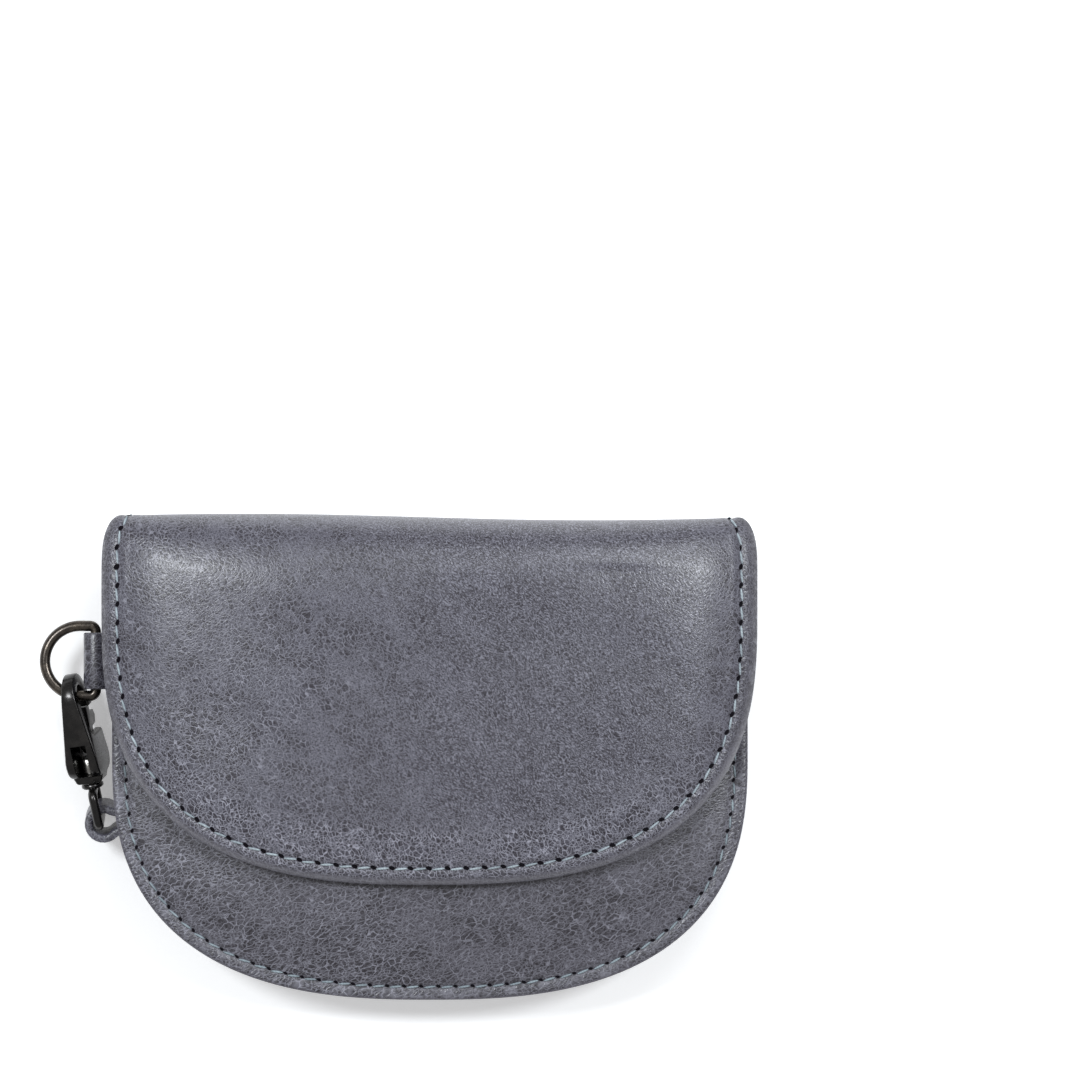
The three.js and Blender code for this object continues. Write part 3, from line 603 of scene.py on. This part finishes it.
def sewRow(threadMesh, holeMesh, points, normals, pitch, holeShare):
    run = runOf(points) / mm
    count = max(1, int(round(run[-1] / pitch)))
    step = run[-1] / count

    def at(distance):
        def value(rows, where):
            return np.array([np.interp(where, run, rows[:, k]) for k in range(3)])
        ahead, behind = value(points, distance + sewing["feel"]), value(points, distance - sewing["feel"])
        along = Vector(ahead - behind).normalized()
        side = Vector(value(normals, distance)).cross(along).normalized()
        return Vector(value(points, distance)), along, side, along.cross(side)

    def put(spot, x, y, z):
        turn = Matrix((x, y, z)).transposed().to_4x4()
        return Matrix.Translation(spot) @ turn

    for index in range(count):
        spot, along, side, up = at((index + 0.5) * step)
        slant = along + side * sewing["slant"]
        matrix = put(spot + up * sewing["lift"] * mm, side * sewing["wide"] / 2 * mm,
                     up * sewing["high"] / 2 * mm, slant * sewing["share"] / 2 * step * mm)
        bmesh.ops.create_uvsphere(threadMesh, u_segments=8, v_segments=5, radius=1.0, matrix=matrix)
    # a dark disc at each needle hole, painted shade
    for index in range(count + 1):
        spot, along, side, up = at(index * step)
        spot += (up * sewing["holeLift"] + side * sewing["holeAside"]) * mm
        slant = (along + side * sewing["holeSlant"]).normalized()
        long, wide = (holeShare * sewing[key] / 2 * mm for key in ("holeLong", "holeWide"))
        matrix = put(spot, slant * long, up.cross(slant) * wide, up * mm)
        bmesh.ops.create_circle(holeMesh, cap_ends=True, segments=10, radius=1.0, matrix=matrix)


def sewPiece(name, rows, pitch=sewing["pitch"], material=thread, holeShare=1.0):
    threadMesh, holeMesh = bmesh.new(), bmesh.new()
    for points, normals in rows:
        sewRow(threadMesh, holeMesh, points, normals, pitch, holeShare)
    dress(pieceFrom(threadMesh, name), material, "leather")
    dress(pieceFrom(holeMesh, name + "HoleShades"), needleHoleShade, "leather")


def edgeLine(cut, inset, topDepth):
    # the line of a cut, a set distance inside its edge, from its left top round to its right top
    down = np.linspace(topDepth, cut["start"], 60, endpoint=False)
    turn = np.linspace(0, np.pi, 481)
    side, bend = halfWidth(cut, down), 2 / cut["power"]
    around = cut["half"] * np.sign(np.cos(turn)) * np.abs(np.cos(turn)) ** bend
    x = np.concatenate([-side, -around, side[::-1]])
    depth = np.concatenate([down, cut["start"] + cut["drop"] * np.sin(turn) ** bend, down[::-1]])
    line = resample(np.stack([x, depth], -1), 900)
    tangent = unit(np.gradient(line, axis=0))
    inward = np.stack([tangent[:, 1], -tangent[:, 0]], -1)
    return resample(line + inward * inset, 420)


def onSurface(line, heightAt, down=False):
    # the line laid on a skin, with the skin's normals
    x, depth = line[:, 0], line[:, 1]
    step = 0.25
    slopeX = (heightAt(x + step, depth) - heightAt(x - step, depth)) / (2 * step)
    slopeD = (heightAt(x, depth + step) - heightAt(x, depth - step)) / (2 * step)
    normals = unit(np.stack([-slopeX, slopeD, np.ones_like(x)], -1))
    return place(x, depth, heightAt(x, depth)), -normals if down else normals


# Outer leather: back, fold and flap, one sheet with a turned edge on the flap
outer = {"columns": 150, "crowd": 0.12, "lastTurn": 89.2, "backRound": 52, "backFlat": 26, "fold": 44,
         "flapTop": 9, "flapRound": 84, "rim": 0.62, "shoulder": 0.7, "shoulderDepth": 7.5,
         "shoulderWide": 6.0, "calmIn": 4.0, "calmWide": 12.0, "dents": 0.7}
# a sewn edge: its rolled rim, the groove under the stitches, and humps by height, place and width
flapHem = {"roll": 0.75, "rollWide": 1.3, "stitchIn": 3.5, "groove": 0.24, "grooveWide": 0.7,
           "humps": [(0.22, -1.6, 0.9), (0.12, 1.4, 0.8)], "turnIn": 6.6, "turnFade": 2.6,
           "sewnRound": -75.0, "roundSteps": 60}
seam = {"roll": 0.35, "rollWide": 0.8, "stitchIn": 3.0, "groove": 0.22, "grooveWide": 0.7,
        "humps": [(0.1, 1.3, 0.8)], "reach": 6.0, "belowFold": 3.0}
frontSeam = {**seam, "stitchIn": 2.8}
wrinkle = {"depth": 4.6, "wide": 2.0, "from": 0.6, "mean": 0.6, "swing": 0.4, "short": 9.0, "long": 23.0,
           "right": 0.6}


def spreadColumns(count):
    # closer together towards both sides
    t = np.linspace(-1, 1, count)
    return t + outer["crowd"] * np.sin(np.pi * t)


def roundDepths(cut, count):
    turn = np.linspace(0, math.radians(outer["lastTurn"]), count)
    return cut["start"] + cut["drop"] * np.sin(turn) ** (2 / cut["power"])


def edgeLift(inside, look):
    past = inside - look["stitchIn"]
    roll = look["roll"] * np.clip(1 - inside / look["rollWide"], 0, 1) ** 2
    groove = look["groove"] * bell(past, look["grooveWide"])
    return sum(high * bell(past - at, wide) for high, at, wide in look["humps"]) - roll - groove


def shoulderDip(depth):
    # the leather keeps bending softly below the fold
    return outer["shoulder"] * bell(depth - outer["shoulderDepth"], outer["shoulderWide"])


def flapSkin(x, depth):
    inside = fromEdge(flapCut, x, depth)
    slack = easeIn((inside - outer["calmIn"]) / outer["calmWide"]) * softDents(x, depth, outer["dents"])
    return flapAt(x, depth) + edgeLift(inside, flapHem) + slack - shoulderDip(depth)


def backSkin(x, depth):
    inside = fromEdge(bodyCut, x, depth)
    return backAt(x, depth) - np.where(inside < seam["reach"], edgeLift(inside, seam), 0.0)


def makeOuter():
    u = spreadColumns(outer["columns"])
    backDepths = np.concatenate([roundDepths(bodyCut, outer["backRound"])[::-1],
                                 np.linspace(bodyCut["start"], purse["foldDepth"], outer["backFlat"])[1:]])
    angles = np.linspace(-np.pi / 2, np.pi / 2, outer["fold"])[1:-1]
    flapDepths = np.concatenate([np.linspace(purse["foldDepth"], flapCut["start"], outer["flapTop"])[:-1],
                                 roundDepths(flapCut, outer["flapRound"])])
    side = np.concatenate([np.zeros(len(backDepths)), np.ones(len(angles)), np.full(len(flapDepths), 2.0)])
    depths = np.concatenate([backDepths, purse["foldDepth"] * (1 - np.cos(angles)), flapDepths])
    turns = np.concatenate([np.full(len(backDepths), -np.pi / 2), angles,
                            np.full(len(flapDepths), np.pi / 2)])
    share = (np.sin(turns) + 1) / 2
    backHalf, flapHalf = halfWidth(bodyCut, depths), halfWidth(flapCut, depths)
    between = backHalf + share * (flapHalf - backHalf)
    half = np.where(side == 0, backHalf, np.where(side == 2, flapHalf, between))
    total = len(side)

    def layout(column, row):
        x = u[column] * half[row]
        inside = np.where(side[row] == 0, fromEdge(bodyCut, x, depths[row]),
                          np.where(side[row] == 2, fromEdge(flapCut, x, depths[row]), half[row] - np.abs(x)))
        return x, inside

    def pointAt(column, row):
        x, inside = layout(column, row)
        kind, rise = side[row][:, None], share[row]
        lift = edgeLift(inside, flapHem) * rise + edgeLift(inside, seam) * (1 - rise)
        lift -= shoulderDip(depths[row]) * rise ** 3
        y, z = foldPoint(x, turns[row], -lift)
        return np.where(kind == 0, place(x, depths[row], backSkin(x, depths[row])),
                        np.where(kind == 2, place(x, depths[row], flapSkin(x, depths[row])),
                                 toFrame(x, y, purse["backHeight"] + z)))

    def edgeMark(column, row):
        return 1 / (1 + layout(column, row)[1])

    def creaseShadeMark(column, row):
        # the fold's own wrinkles, stronger at the left: raised in the bump, and painted darker as their shade
        x, _ = layout(column, row)
        band = bell(depths[row] - wrinkle["depth"], wrinkle["wide"]) * (share[row] > wrinkle["from"])
        waves = np.sin(x / wrinkle["short"]) * np.sin(x / wrinkle["long"] + 1.0)
        return band * (wrinkle["mean"] + wrinkle["swing"] * waves) * np.where(x < 0, 1.0, wrinkle["right"])

    marks = {"edge": edgeMark, "creaseShade": creaseShadeMark}
    obj = gridPiece("outerLeather", outer["columns"], total, pointAt, flip=True, marks=marks)
    column, row = np.meshgrid(np.arange(outer["columns"]), np.arange(total))
    _, inside = layout(column.ravel(), row.ravel())
    hem = easeIn((flapHem["turnIn"] - inside) / flapHem["turnFade"]) * share[row.ravel()]
    thick = purse["leather"] + (purse["hemThick"] - purse["leather"]) * hem
    thicken(obj, purse["hemThick"], outer["rim"], weights=thick / purse["hemThick"], rimSegments=3)
    dress(obj, leather, "leather", "back_flap")


makeOuter()
print("outer leather made")


# Front panel and divider
front = {"columns": 150, "flat": 26, "round": 84, "cornerCut": 0.0, "topStitch": 4.0,
         "topGroove": 0.28, "topHalf": 63.5, "below": 0.6, "pitch": 3.7, "holeShare": 0.75,
         "calmIn": 3.5, "calmWide": 10.0, "dents": 2.1}
divider = {"columns": 110, "top": 16, "flat": 18, "round": 50, "cornerCut": 0.055, "topStitch": 3.6,
           "topGroove": 0.25, "topHalf": 55.0}
panel = {"grooveWide": 0.5, "edgeSoft": 2.1, "rim": 0.4}


def topGroove(size, depth, top):
    return size["topGroove"] * bell(depth - top - size["topStitch"], panel["grooveWide"])


def frontSkin(x, depth):
    inside = fromEdge(bodyCut, x, depth)
    slack = easeIn((inside - front["calmIn"]) / front["calmWide"]) * softDents(x, depth, front["dents"])
    lift = edgeLift(inside, frontSeam) - topGroove(front, depth, swell["frontTop"])
    return frontAt(x, depth) + purse["leather"] + lift + slack


def dividerSkin(x, depth):
    return dividerAt(x, depth) + purse["leather"] - topGroove(divider, depth, swell["dividerTop"])


def makePanel(name, node, size, skin, depths):
    u = spreadColumns(size["columns"])

    def pointAt(column, row):
        depth = depths[row]
        corner = size["cornerCut"] * np.maximum(0, swell["frontTop"] - depth) ** 2
        x = u[column] * (halfWidth(bodyCut, depth) - corner)
        return place(x, depth, skin(x, depth))

    def edgeMark(column, row):
        x = u[column] * halfWidth(bodyCut, depths[row])
        inside = np.minimum(fromEdge(bodyCut, x, depths[row]), depths[row] - depths[0])
        return 1 / (panel["edgeSoft"] + inside)

    obj = gridPiece(name, size["columns"], len(depths), pointAt, flip=True, marks={"edge": edgeMark})
    thicken(obj, purse["leather"], panel["rim"])
    dress(obj, leatherFront, "leather", node)


frontDepths = np.concatenate([np.linspace(swell["frontTop"], bodyCut["start"], front["flat"])[:-1],
                              roundDepths(bodyCut, front["round"])])
dividerDepths = np.concatenate([np.linspace(swell["dividerTop"], swell["leanDepth"], divider["top"])[:-1],
                                np.linspace(swell["leanDepth"], bodyCut["start"], divider["flat"])[:-1],
                                roundDepths(bodyCut, divider["round"])])
makePanel("frontPanel", "front_panel", front, frontSkin, frontDepths)
makePanel("dividerPanel", "pocket_panel", divider, dividerSkin, dividerDepths)
print("front panel and divider made")


# Linings of the fold and the flap, and the net behind the window
lining = {"foldHalf": 56.2, "foldStart": -40.0, "foldRows": 34, "tailRows": 8, "columns": 90, "rim": 0.3,
          "top": 20.3, "inset": 6.2, "windowTop": 27.5, "windowInset": 15.0, "tongueDepth": 68.0,
          "tongueRadius": 12.0, "middle": 42.0, "angles": 288, "rows": 14,
          "netTuck": 2.6, "netTop": 24.0, "netBottom": 66.0, "netRows": 40}


def insetCut(inset):
    return {**flapCut, "half": flapCut["half"] - inset, "drop": flapCut["drop"] - inset}


def makeFoldLining():
    angles = np.linspace(math.radians(lining["foldStart"]), math.pi / 2, lining["foldRows"])
    depths = np.linspace(purse["foldDepth"], lining["top"] - purse["gap"], lining["tailRows"])[1:]
    inwards = purse["leather"] + purse["liningGap"] + purse["lining"]
    total = len(angles) + len(depths)

    def pointAt(column, row):
        x = np.linspace(-1, 1, lining["columns"])[column] * lining["foldHalf"]
        turn = angles[np.minimum(row, len(angles) - 1)]
        y, z = foldPoint(x, turn, inwards)
        depth = depths[np.maximum(0, row - len(angles))]
        return np.where((row < len(angles))[:, None], toFrame(x, y, purse["backHeight"] + z),
                        place(x, depth, flapAt(x, depth) - inwards))

    obj = gridPiece("foldLining", lining["columns"], total, pointAt)
    thicken(obj, purse["lining"], lining["rim"])
    dress(obj, leatherFront, "leather", "fold_lining")


def reachFromWindow(inside, angle):
    # how far from the window's middle a shape reaches, found by halving
    near, far = np.zeros_like(angle), np.full_like(angle, 90.0)
    for _ in range(26):
        middle = (near + far) / 2
        hit = inside(middle * np.sin(angle), lining["middle"] - middle * np.cos(angle))
        near, far = np.where(hit, middle, near), np.where(hit, far, middle)
    return near


def inLining(x, depth):
    return (depth > lining["top"]) & (reachOf(insetCut(lining["inset"]), x, depth) < 1)


def inWindow(x, depth):
    clear = np.hypot(x, depth - lining["tongueDepth"]) > lining["tongueRadius"]
    return (depth > lining["windowTop"]) & clear & (reachOf(insetCut(lining["windowInset"]), x, depth) < 1)


def liningSkin(x, depth):
    return flapAt(x, depth) - purse["leather"] - 2 * purse["liningGap"] - purse["net"] - purse["lining"]


def makeFlapLining():
    angles = np.linspace(0, 2 * np.pi, lining["angles"] + 1)
    inner, outerReach = reachFromWindow(inWindow, angles), reachFromWindow(inLining, angles)
    shares = np.linspace(0, 1, lining["rows"])

    def pointAt(column, row):
        reach = inner[column] + shares[row] * (outerReach[column] - inner[column])
        x, depth = reach * np.sin(angles[column]), lining["middle"] - reach * np.cos(angles[column])
        return place(x, depth, liningSkin(x, depth))

    obj = gridPiece("flapLining", lining["angles"] + 1, len(shares), pointAt, flip=True, around=True)
    thicken(obj, purse["lining"], lining["rim"])
    dress(obj, leatherFront, "leather", "flap_lining")


def makeNet():
    cut = insetCut(lining["windowInset"] - lining["netTuck"])
    depths = np.linspace(lining["netTop"], lining["netBottom"], lining["netRows"])

    def pointAt(column, row):
        x = np.linspace(-1, 1, lining["columns"])[column] * halfWidth(cut, depths[row])
        height = flapAt(x, depths[row]) - purse["leather"] - purse["liningGap"] - purse["net"] / 2
        return place(x, depths[row], height)

    obj = gridPiece("windowNet", lining["columns"], len(depths), pointAt)
    dress(obj, netCloth, "net", "window_mesh")


makeFoldLining()
makeFlapLining()
makeNet()
print("linings and net made")


# Zip: two woven tapes, a row of coil turns, slider, link and leather puller
zipLink = {"depth": 6.4, "wire": 1.3, "back": 7.65, "front": 14.6, "wide": 7.0, "corner": 1.4,
           "middle": -40.0}


def makeZip():
    for node, name in (("zip_tape_back", "zipTapeBack"), ("zip_tape_front", "zipTapeFront")):
        dress(solidCopy(node, name, 0.15), tapeCloth, "tape", node)
    bm = bmesh.new()
    middle = (zipRow["low"] + zipRow["high"]) / 2
    size = Matrix.Diagonal((zipRow["turn"] * zipRow["turnShare"] * mm, zipRow["turnHigh"] * mm,
                            zipRow["turnWide"] / 2 * mm, 1))
    for index in range(int((zipRow["right"] - zipRow["left"]) / zipRow["turn"])):
        x = zipRow["left"] + (index + 0.5) * zipRow["turn"]
        spot = Vector(place(x, zipRow["depth"] + zipRow["turnIn"], middle))
        lean = Matrix.Rotation(math.radians(zipRow["turnLean"] * (1 if index % 2 else -1)), 4, "Y")
        bmesh.ops.create_uvsphere(bm, u_segments=8, v_segments=5, radius=1.0,
                                  matrix=Matrix.Translation(spot) @ lean @ size)
    dress(pieceFrom(bm, "zipCoil"), coilPlastic, "coil", "zip_coil")
    dress(solidCopy("zip_slider", "zipSlider", 0.35), bronze, "bronze", "zip_slider")
    box = roundedBox(zipLink["wide"], zipLink["front"] - zipLink["back"], zipLink["corner"], 8)
    shape = resample(box, 72, True)
    path = toFrame(shape[:, 0] + zipLink["middle"], purse["topY"] - zipLink["depth"],
                   purse["backHeight"] + (zipLink["front"] + zipLink["back"]) / 2 - shape[:, 1])
    link = wireLoop("zipLink", path, (0.0, 1.0, 0.0), zipLink["wire"], 14)
    dress(link, bronze, "bronze", "zip_pull_link")
    dress(solidCopy("zip_pull_tab", "zipPuller", 0.25), leather, "leather", "zip_pull_tab")


makeZip()
print("zip made")


# Press snap, turned from its profiles
snap = {"depth": 64.0, "studRadius": 4.15, "studGap": 0.35, "steps": 48,
        "socket": [(2.5, 0.0), (5.75, 0.0), (5.75, 0.35), (5.45, 0.6), (4.6, 0.95), (3.9, 1.08), (3.3, 1.1),
                   (2.8, 1.0), (2.5, 0.7), (2.5, 0.0)],
        "stud": [(0.0, 0.0), (4.15, 0.0), (4.15, -0.28), (3.9, -0.45), (3.4, -0.5), (1.8, -0.5), (1.62, -0.8),
                 (1.7, -1.5), (1.3, -1.85), (0.6, -1.95), (0.0, -1.95)]}


def makeSnapHalf(name, node, profile, height):
    middle = place(0, snap["depth"], height)
    points = [middle + np.array([radius, 0, rise]) * mm for radius, rise in profile]
    half = turnedPiece(name, points, middle, (0, 0, 1), snap["steps"])
    dress(half, pewter, "pewter", node)


socketTop = float(frontAt(0.0, snap["depth"])) + purse["leather"] + purse["gap"]
studTop = float(liningSkin(0.0, snap["depth"] + snap["studRadius"])) - snap["studGap"]
makeSnapHalf("snapSocket", "snap_socket", snap["socket"], socketTop)
makeSnapHalf("snapStud", "snap_stud", snap["stud"], studTop)
print("snap made")


# Ring tab and ring
ring = {"wire": 2.3, "barX": -72.2, "half": 7.55, "deep": 11.0, "corner": 1.3, "height": 12.6,
        "middleY": 20.5}
tab = {"wide": 12.2, "thick": 1.2, "corner": 0.38, "tailStart": -69.0, "tailEnd": -61.0, "tailHalf": 0.68,
       "open": 42.0}


def makeTab():
    radius = ring["wire"] / 2 + purse["gap"] + tab["thick"] / 2
    turn = np.linspace(math.radians(tab["open"]), math.radians(360 - tab["open"]), 40)
    ends = [tab["tailEnd"], tab["tailStart"]]
    x = np.concatenate([ends, ring["barX"] + radius * np.cos(turn), ends[::-1]])
    z = np.concatenate([[tab["tailHalf"]] * 2, radius * np.sin(turn), [-tab["tailHalf"]] * 2])
    line = resample(np.stack([x, z], -1), 110)
    path = toFrame(line[:, 0], ring["middleY"], ring["height"] + line[:, 1])
    wide = np.tile([0.0, 1.0, 0.0], (len(path), 1))
    thin = np.cross(unit(np.gradient(path, axis=0)), wide)
    profile = roundedBox(tab["wide"] * mm, tab["thick"] * mm, tab["corner"] * mm, 4)
    obj = sweepPiece("ringTab", path, wide, thin, profile, closed=False)
    dress(obj, leatherFront, "leather", "ring_tab")


def makeRing():
    half, corner = ring["half"], ring["corner"]
    quarter = np.linspace(0, np.pi / 2, 8)
    arc = np.linspace(np.pi / 2, 1.5 * np.pi, 60)
    lower = quarter - np.pi / 2
    x = np.concatenate([corner * (np.cos(quarter) - 1), half - ring["deep"] + half * np.cos(arc),
                        corner * (np.cos(lower) - 1)])
    y = np.concatenate([half - corner + corner * np.sin(quarter), half * np.sin(arc),
                        corner - half + corner * np.sin(lower)])
    shape = resample(np.stack([x, y], -1), 150, True)
    path = toFrame(shape[:, 0] + ring["barX"], shape[:, 1] + ring["middleY"], ring["height"])
    dress(wireLoop("dRing", path, (0.0, 0.0, 1.0), ring["wire"], 20), bronze, "bronze", "d_ring")


makeTab()
makeRing()
print("ring made")


# Trigger hook, its lever and its swivel eye
hook = {"turn": -9.6, "slope": (0.185, -0.965, -0.18), "grip": 4.7, "eyeAlong": 33.0, "eyeNear": 25.8,
        "eyeTall": 11.8, "eyeWire": 2.0, "eyeCorner": 1.2,
        "post": [(0, 18.8), (1.05, 18.8), (1.35, 19.1), (1.35, 21.8), (1.0, 21.8), (1.0, 24.3)],
        "flange": [(1.0, 24.3), (2.1, 24.3), (2.4, 24.6), (2.4, 25.1), (2.1, 25.4), (0, 25.4)]}
hookAlong = Vector(hook["slope"]).normalized()
hookOut = (Vector((0, 0, 1)) - hookAlong * hookAlong.z).normalized()
hookSide = hookAlong.cross(hookOut)
hookTurn = math.radians(hook["turn"])
hookRing = Vector((ring["barX"] + ring["half"] - ring["deep"] + ring["half"] * math.sin(hookTurn),
                   ring["middleY"] - ring["half"] * math.cos(hookTurn), ring["height"]))
hookStart = hookRing - hookAlong * hook["grip"]


def hookPoint(along, out):
    along, out = np.broadcast_arrays(along, out)
    spot = np.array(hookStart) + along[..., None] * np.array(hookAlong) + out[..., None] * np.array(hookOut)
    return toFrame(spot[..., 0], spot[..., 1], spot[..., 2])


def makeSwivel():
    box = roundedBox(hook["eyeAlong"] - hook["eyeNear"], hook["eyeTall"], hook["eyeCorner"], 8)
    shape = resample(box, 110, True)
    path = hookPoint(shape[:, 0] + (hook["eyeAlong"] + hook["eyeNear"]) / 2, shape[:, 1])
    eye = wireLoop("hookEye", path, np.array(hookSide), hook["eyeWire"], 18)
    dress(eye, gunmetal, "gunmetal", "hook_swivel")
    # the post's head takes the lighter gunmetal, a painted sheen; its flange the plain gunmetal
    turns = (("hookPost", hook["post"], postSheenMetal), ("hookFlange", hook["flange"], gunmetal))
    for name, profile, material in turns:
        points = [hookPoint(along, radius) for radius, along in profile]
        dress(turnedPiece(name, points, hookPoint(0.0, 0.0), hookAlong, 32), material, "gunmetal")


dress(solidCopy("hook_body", "hookBody", 0.3, 3), gunmetal, "gunmetal", "hook_body")
dress(solidCopy("hook_gate", "hookGate", 0.3, 3), gunmetal, "gunmetal", "hook_gate", body="gate")
makeSwivel()
print("hook made")


# Wrist strap: one strip, sewn together at the neck, round the eye at one end
strap = {"wide": 8.0, "thick": 1.8, "corner": 0.5, "heading": 9.0, "riseFrom": -50.0, "riseTo": -68.0,
         "stitchIn": 1.6, "stitchFrom": 16.0, "eyeRadius": 3.2, "eyeCentre": 0.9, "eyeOpen": 48.0,
         "steps": 360, "half": [(125, 0), (117, 14.6), (98, 21.4), (72, 20.4), (45, 13.2), (22, 4.6),
                                (15, 1.9), (12, 1.0), (9, 0.94)]}
strapBar = np.array(hookStart) + np.array(hookAlong) * hook["eyeAlong"]


def strapPoint(along, across, high):
    turn = math.radians(strap["heading"])
    x = strapBar[0] + along * math.cos(turn) - across * math.sin(turn)
    y = strapBar[1] + along * math.sin(turn) + across * math.cos(turn)
    share = easeIn((x - strap["riseFrom"]) / (strap["riseTo"] - strap["riseFrom"]))
    lean = share * (high - strap["wide"] / 2) / hookOut.z
    rise = share * (strapBar[2] - strap["wide"] / 2)
    return toFrame(x + lean * hookOut.x, y + lean * hookOut.y, high + rise)


def makeStrap():
    steps = strap["steps"]
    turn = np.linspace(math.radians(strap["eyeOpen"]), math.radians(360 - strap["eyeOpen"]), 30)
    roundEye = [(strap["eyeCentre"] + strap["eyeRadius"] * math.cos(a), strap["eyeRadius"] * math.sin(a))
                for a in turn]
    back = [(along, -across) for along, across in strap["half"][:0:-1]]
    line = resample(smoothLine(strap["half"] + roundEye + back, 8), steps, True)
    tangent = loopTangents(line)
    normal = np.stack([-tangent[:, 1], tangent[:, 0]], -1)
    profile = roundedBox(strap["thick"], strap["wide"], strap["corner"], 4)
    sides = len(profile)

    def pointAt(column, row):
        column, row = column % sides, row % steps
        spots = line[row] + normal[row] * profile[column, :1]
        return strapPoint(spots[:, 0], spots[:, 1], profile[column, 1] + strap["wide"] / 2)

    strip = tubePiece("wristStrap", sides, steps + 1, pointAt, smoothAngle=60)
    dress(strip, leather, "leather", "wrist_strap")
    # two rows on each face of the wide loop, which starts and ends at the neck
    start = int(np.argmin(line[:, 0]))
    order = np.roll(np.arange(steps), -start)
    order = order[line[order, 0] > strap["stitchFrom"]]
    rows = []
    for high in (strap["stitchIn"], strap["wide"] - strap["stitchIn"]):
        for face in (-1, 1):
            spots = line[order] + normal[order] * face * strap["thick"] / 2
            lifted = spots + normal[order] * face
            points = strapPoint(spots[:, 0], spots[:, 1], np.full(len(order), high))
            rows.append((points, strapPoint(lifted[:, 0], lifted[:, 1], np.full(len(order), high)) - points))
    sewPiece("strapStitches", rows, material=threadFront, holeShare=front["holeShare"])
    print("strap length mm", round(float(runOf(np.vstack([line, line[:1]]))[-1]), 1))


makeStrap()
print("strap made")


# Stitch rows of the purse
def foldRow(edge):
    # from the flap round the fold to the back
    angle = np.linspace(math.pi / 2, math.radians(flapHem["sewnRound"]), flapHem["roundSteps"])
    depth = purse["foldDepth"] * (1 - np.cos(angle))
    share = (np.sin(angle) + 1) / 2
    half = halfWidth(bodyCut, depth) + share * (halfWidth(flapCut, depth) - halfWidth(bodyCut, depth))
    x = edge * (half - flapHem["stitchIn"])
    y, z = foldPoint(x, angle, flapHem["groove"] * share + shoulderDip(depth) * share ** 3)
    y2, z2 = foldPoint(x, angle, -1.0)
    points = toFrame(x, y, purse["backHeight"] + z)
    normals = toFrame(x, y2, purse["backHeight"] + z2) - points
    return points, unit(normals)


def topRow(skin, depth, half):
    x = np.linspace(-half, half, 200)
    return onSurface(np.stack([x, np.full_like(x, depth)], -1), skin)


flapEdge = edgeLine(flapCut, flapHem["stitchIn"], purse["foldDepth"])
frontEdge = edgeLine(bodyCut, frontSeam["stitchIn"], swell["frontTop"] + front["below"])
backEdge = edgeLine(bodyCut, seam["stitchIn"], purse["foldDepth"] + seam["belowFold"])
frontTopRow = topRow(frontSkin, swell["frontTop"] + front["topStitch"], front["topHalf"])
dividerTopRow = topRow(dividerSkin, swell["dividerTop"] + divider["topStitch"], divider["topHalf"])
dullSeam = {"pitch": front["pitch"], "material": threadFront, "holeShare": front["holeShare"]}
sewPiece("flapStitches", [onSurface(flapEdge, flapSkin), foldRow(-1), foldRow(1)])
sewPiece("frontStitches", [onSurface(frontEdge, frontSkin), frontTopRow], **dullSeam)
sewPiece("backStitches", [onSurface(backEdge, backSkin, down=True)], **dullSeam)
sewPiece("dividerStitches", [dividerTopRow], **dullSeam)
print("stitches made")


# Floor, light and camera
stage = {"floor": (250, 250, 251), "floorCloud": (252, 252, 252), "floorHalf": 12.0, "floorGlow": 0.3,
         "world": 0.4, "lampTone": (0.93, 0.97, 1.0), "lampAim": 20.0, "camera": 1.28, "sensor": 36.0,
         "frameWide": 230.8, "aimX": 23.7, "aimY": 46.6, "aimZ": 26.0}
lamps = [
    {"name": "topLeft", "at": (-0.46, 0.28, 0.9), "size": 0.24, "power": 5.2},
    {"name": "topRight", "at": (0.52, 0.24, 0.88), "size": 0.2, "power": 4.2},
    {"name": "overhead", "at": (0.35, 0.8, 1.05), "size": 0.45, "power": 3.4},
]


def makeFloor():
    bm = bmesh.new()
    bmesh.ops.create_grid(bm, x_segments=2, y_segments=2, size=stage["floorHalf"])
    floor = pieceFrom(bm, "floor")
    bench = NodeBench("paleFloor")
    bench.give("Base Color", bench.mix(bench.noise(6.0), srgb(*stage["floor"]), srgb(*stage["floorCloud"])))
    bench.give("Roughness", 0.9)
    bench.give("Specular IOR Level", 0.1)
    bench.give("Emission Color", (1, 1, 1, 1))
    bench.give("Emission Strength", stage["floorGlow"])
    floor.data.materials.append(bench.material)


def makeLight():
    world = bpy.data.worlds.new("studio")
    scene.world = world
    world.use_nodes = True
    sky = world.node_tree.nodes["Background"].inputs
    sky["Color"].default_value = (1, 1, 1, 1)
    sky["Strength"].default_value = stage["world"]
    middle = Vector(toFrame(0, 0, stage["lampAim"]))
    for lamp in lamps:
        light = bpy.data.lights.new(lamp["name"], "AREA")
        light.shape = "DISK"
        light.size = lamp["size"]
        light.energy = lamp["power"]
        light.color = stage["lampTone"]
        obj = bpy.data.objects.new(lamp["name"], light)
        scene.collection.objects.link(obj)
        obj.location = lamp["at"]
        obj.rotation_mode = "QUATERNION"
        obj.rotation_quaternion = (middle - obj.location).to_track_quat("-Z", "Y")


def makeCamera():
    data = bpy.data.cameras.new("photoCamera")
    camera = bpy.data.objects.new("photoCamera", data)
    scene.collection.objects.link(camera)
    data.sensor_width = stage["sensor"]
    data.lens = stage["sensor"] * stage["camera"] / (stage["frameWide"] * mm)
    data.clip_end = 20.0
    aim = Vector(toFrame(stage["aimX"], stage["aimY"], stage["aimZ"]))
    camera.location = aim + Vector((0, 0, stage["camera"]))
    scene.camera = camera
    scene.view_settings.view_transform = "Standard"


makeFloor()
makeLight()
makeCamera()
print("stage made")
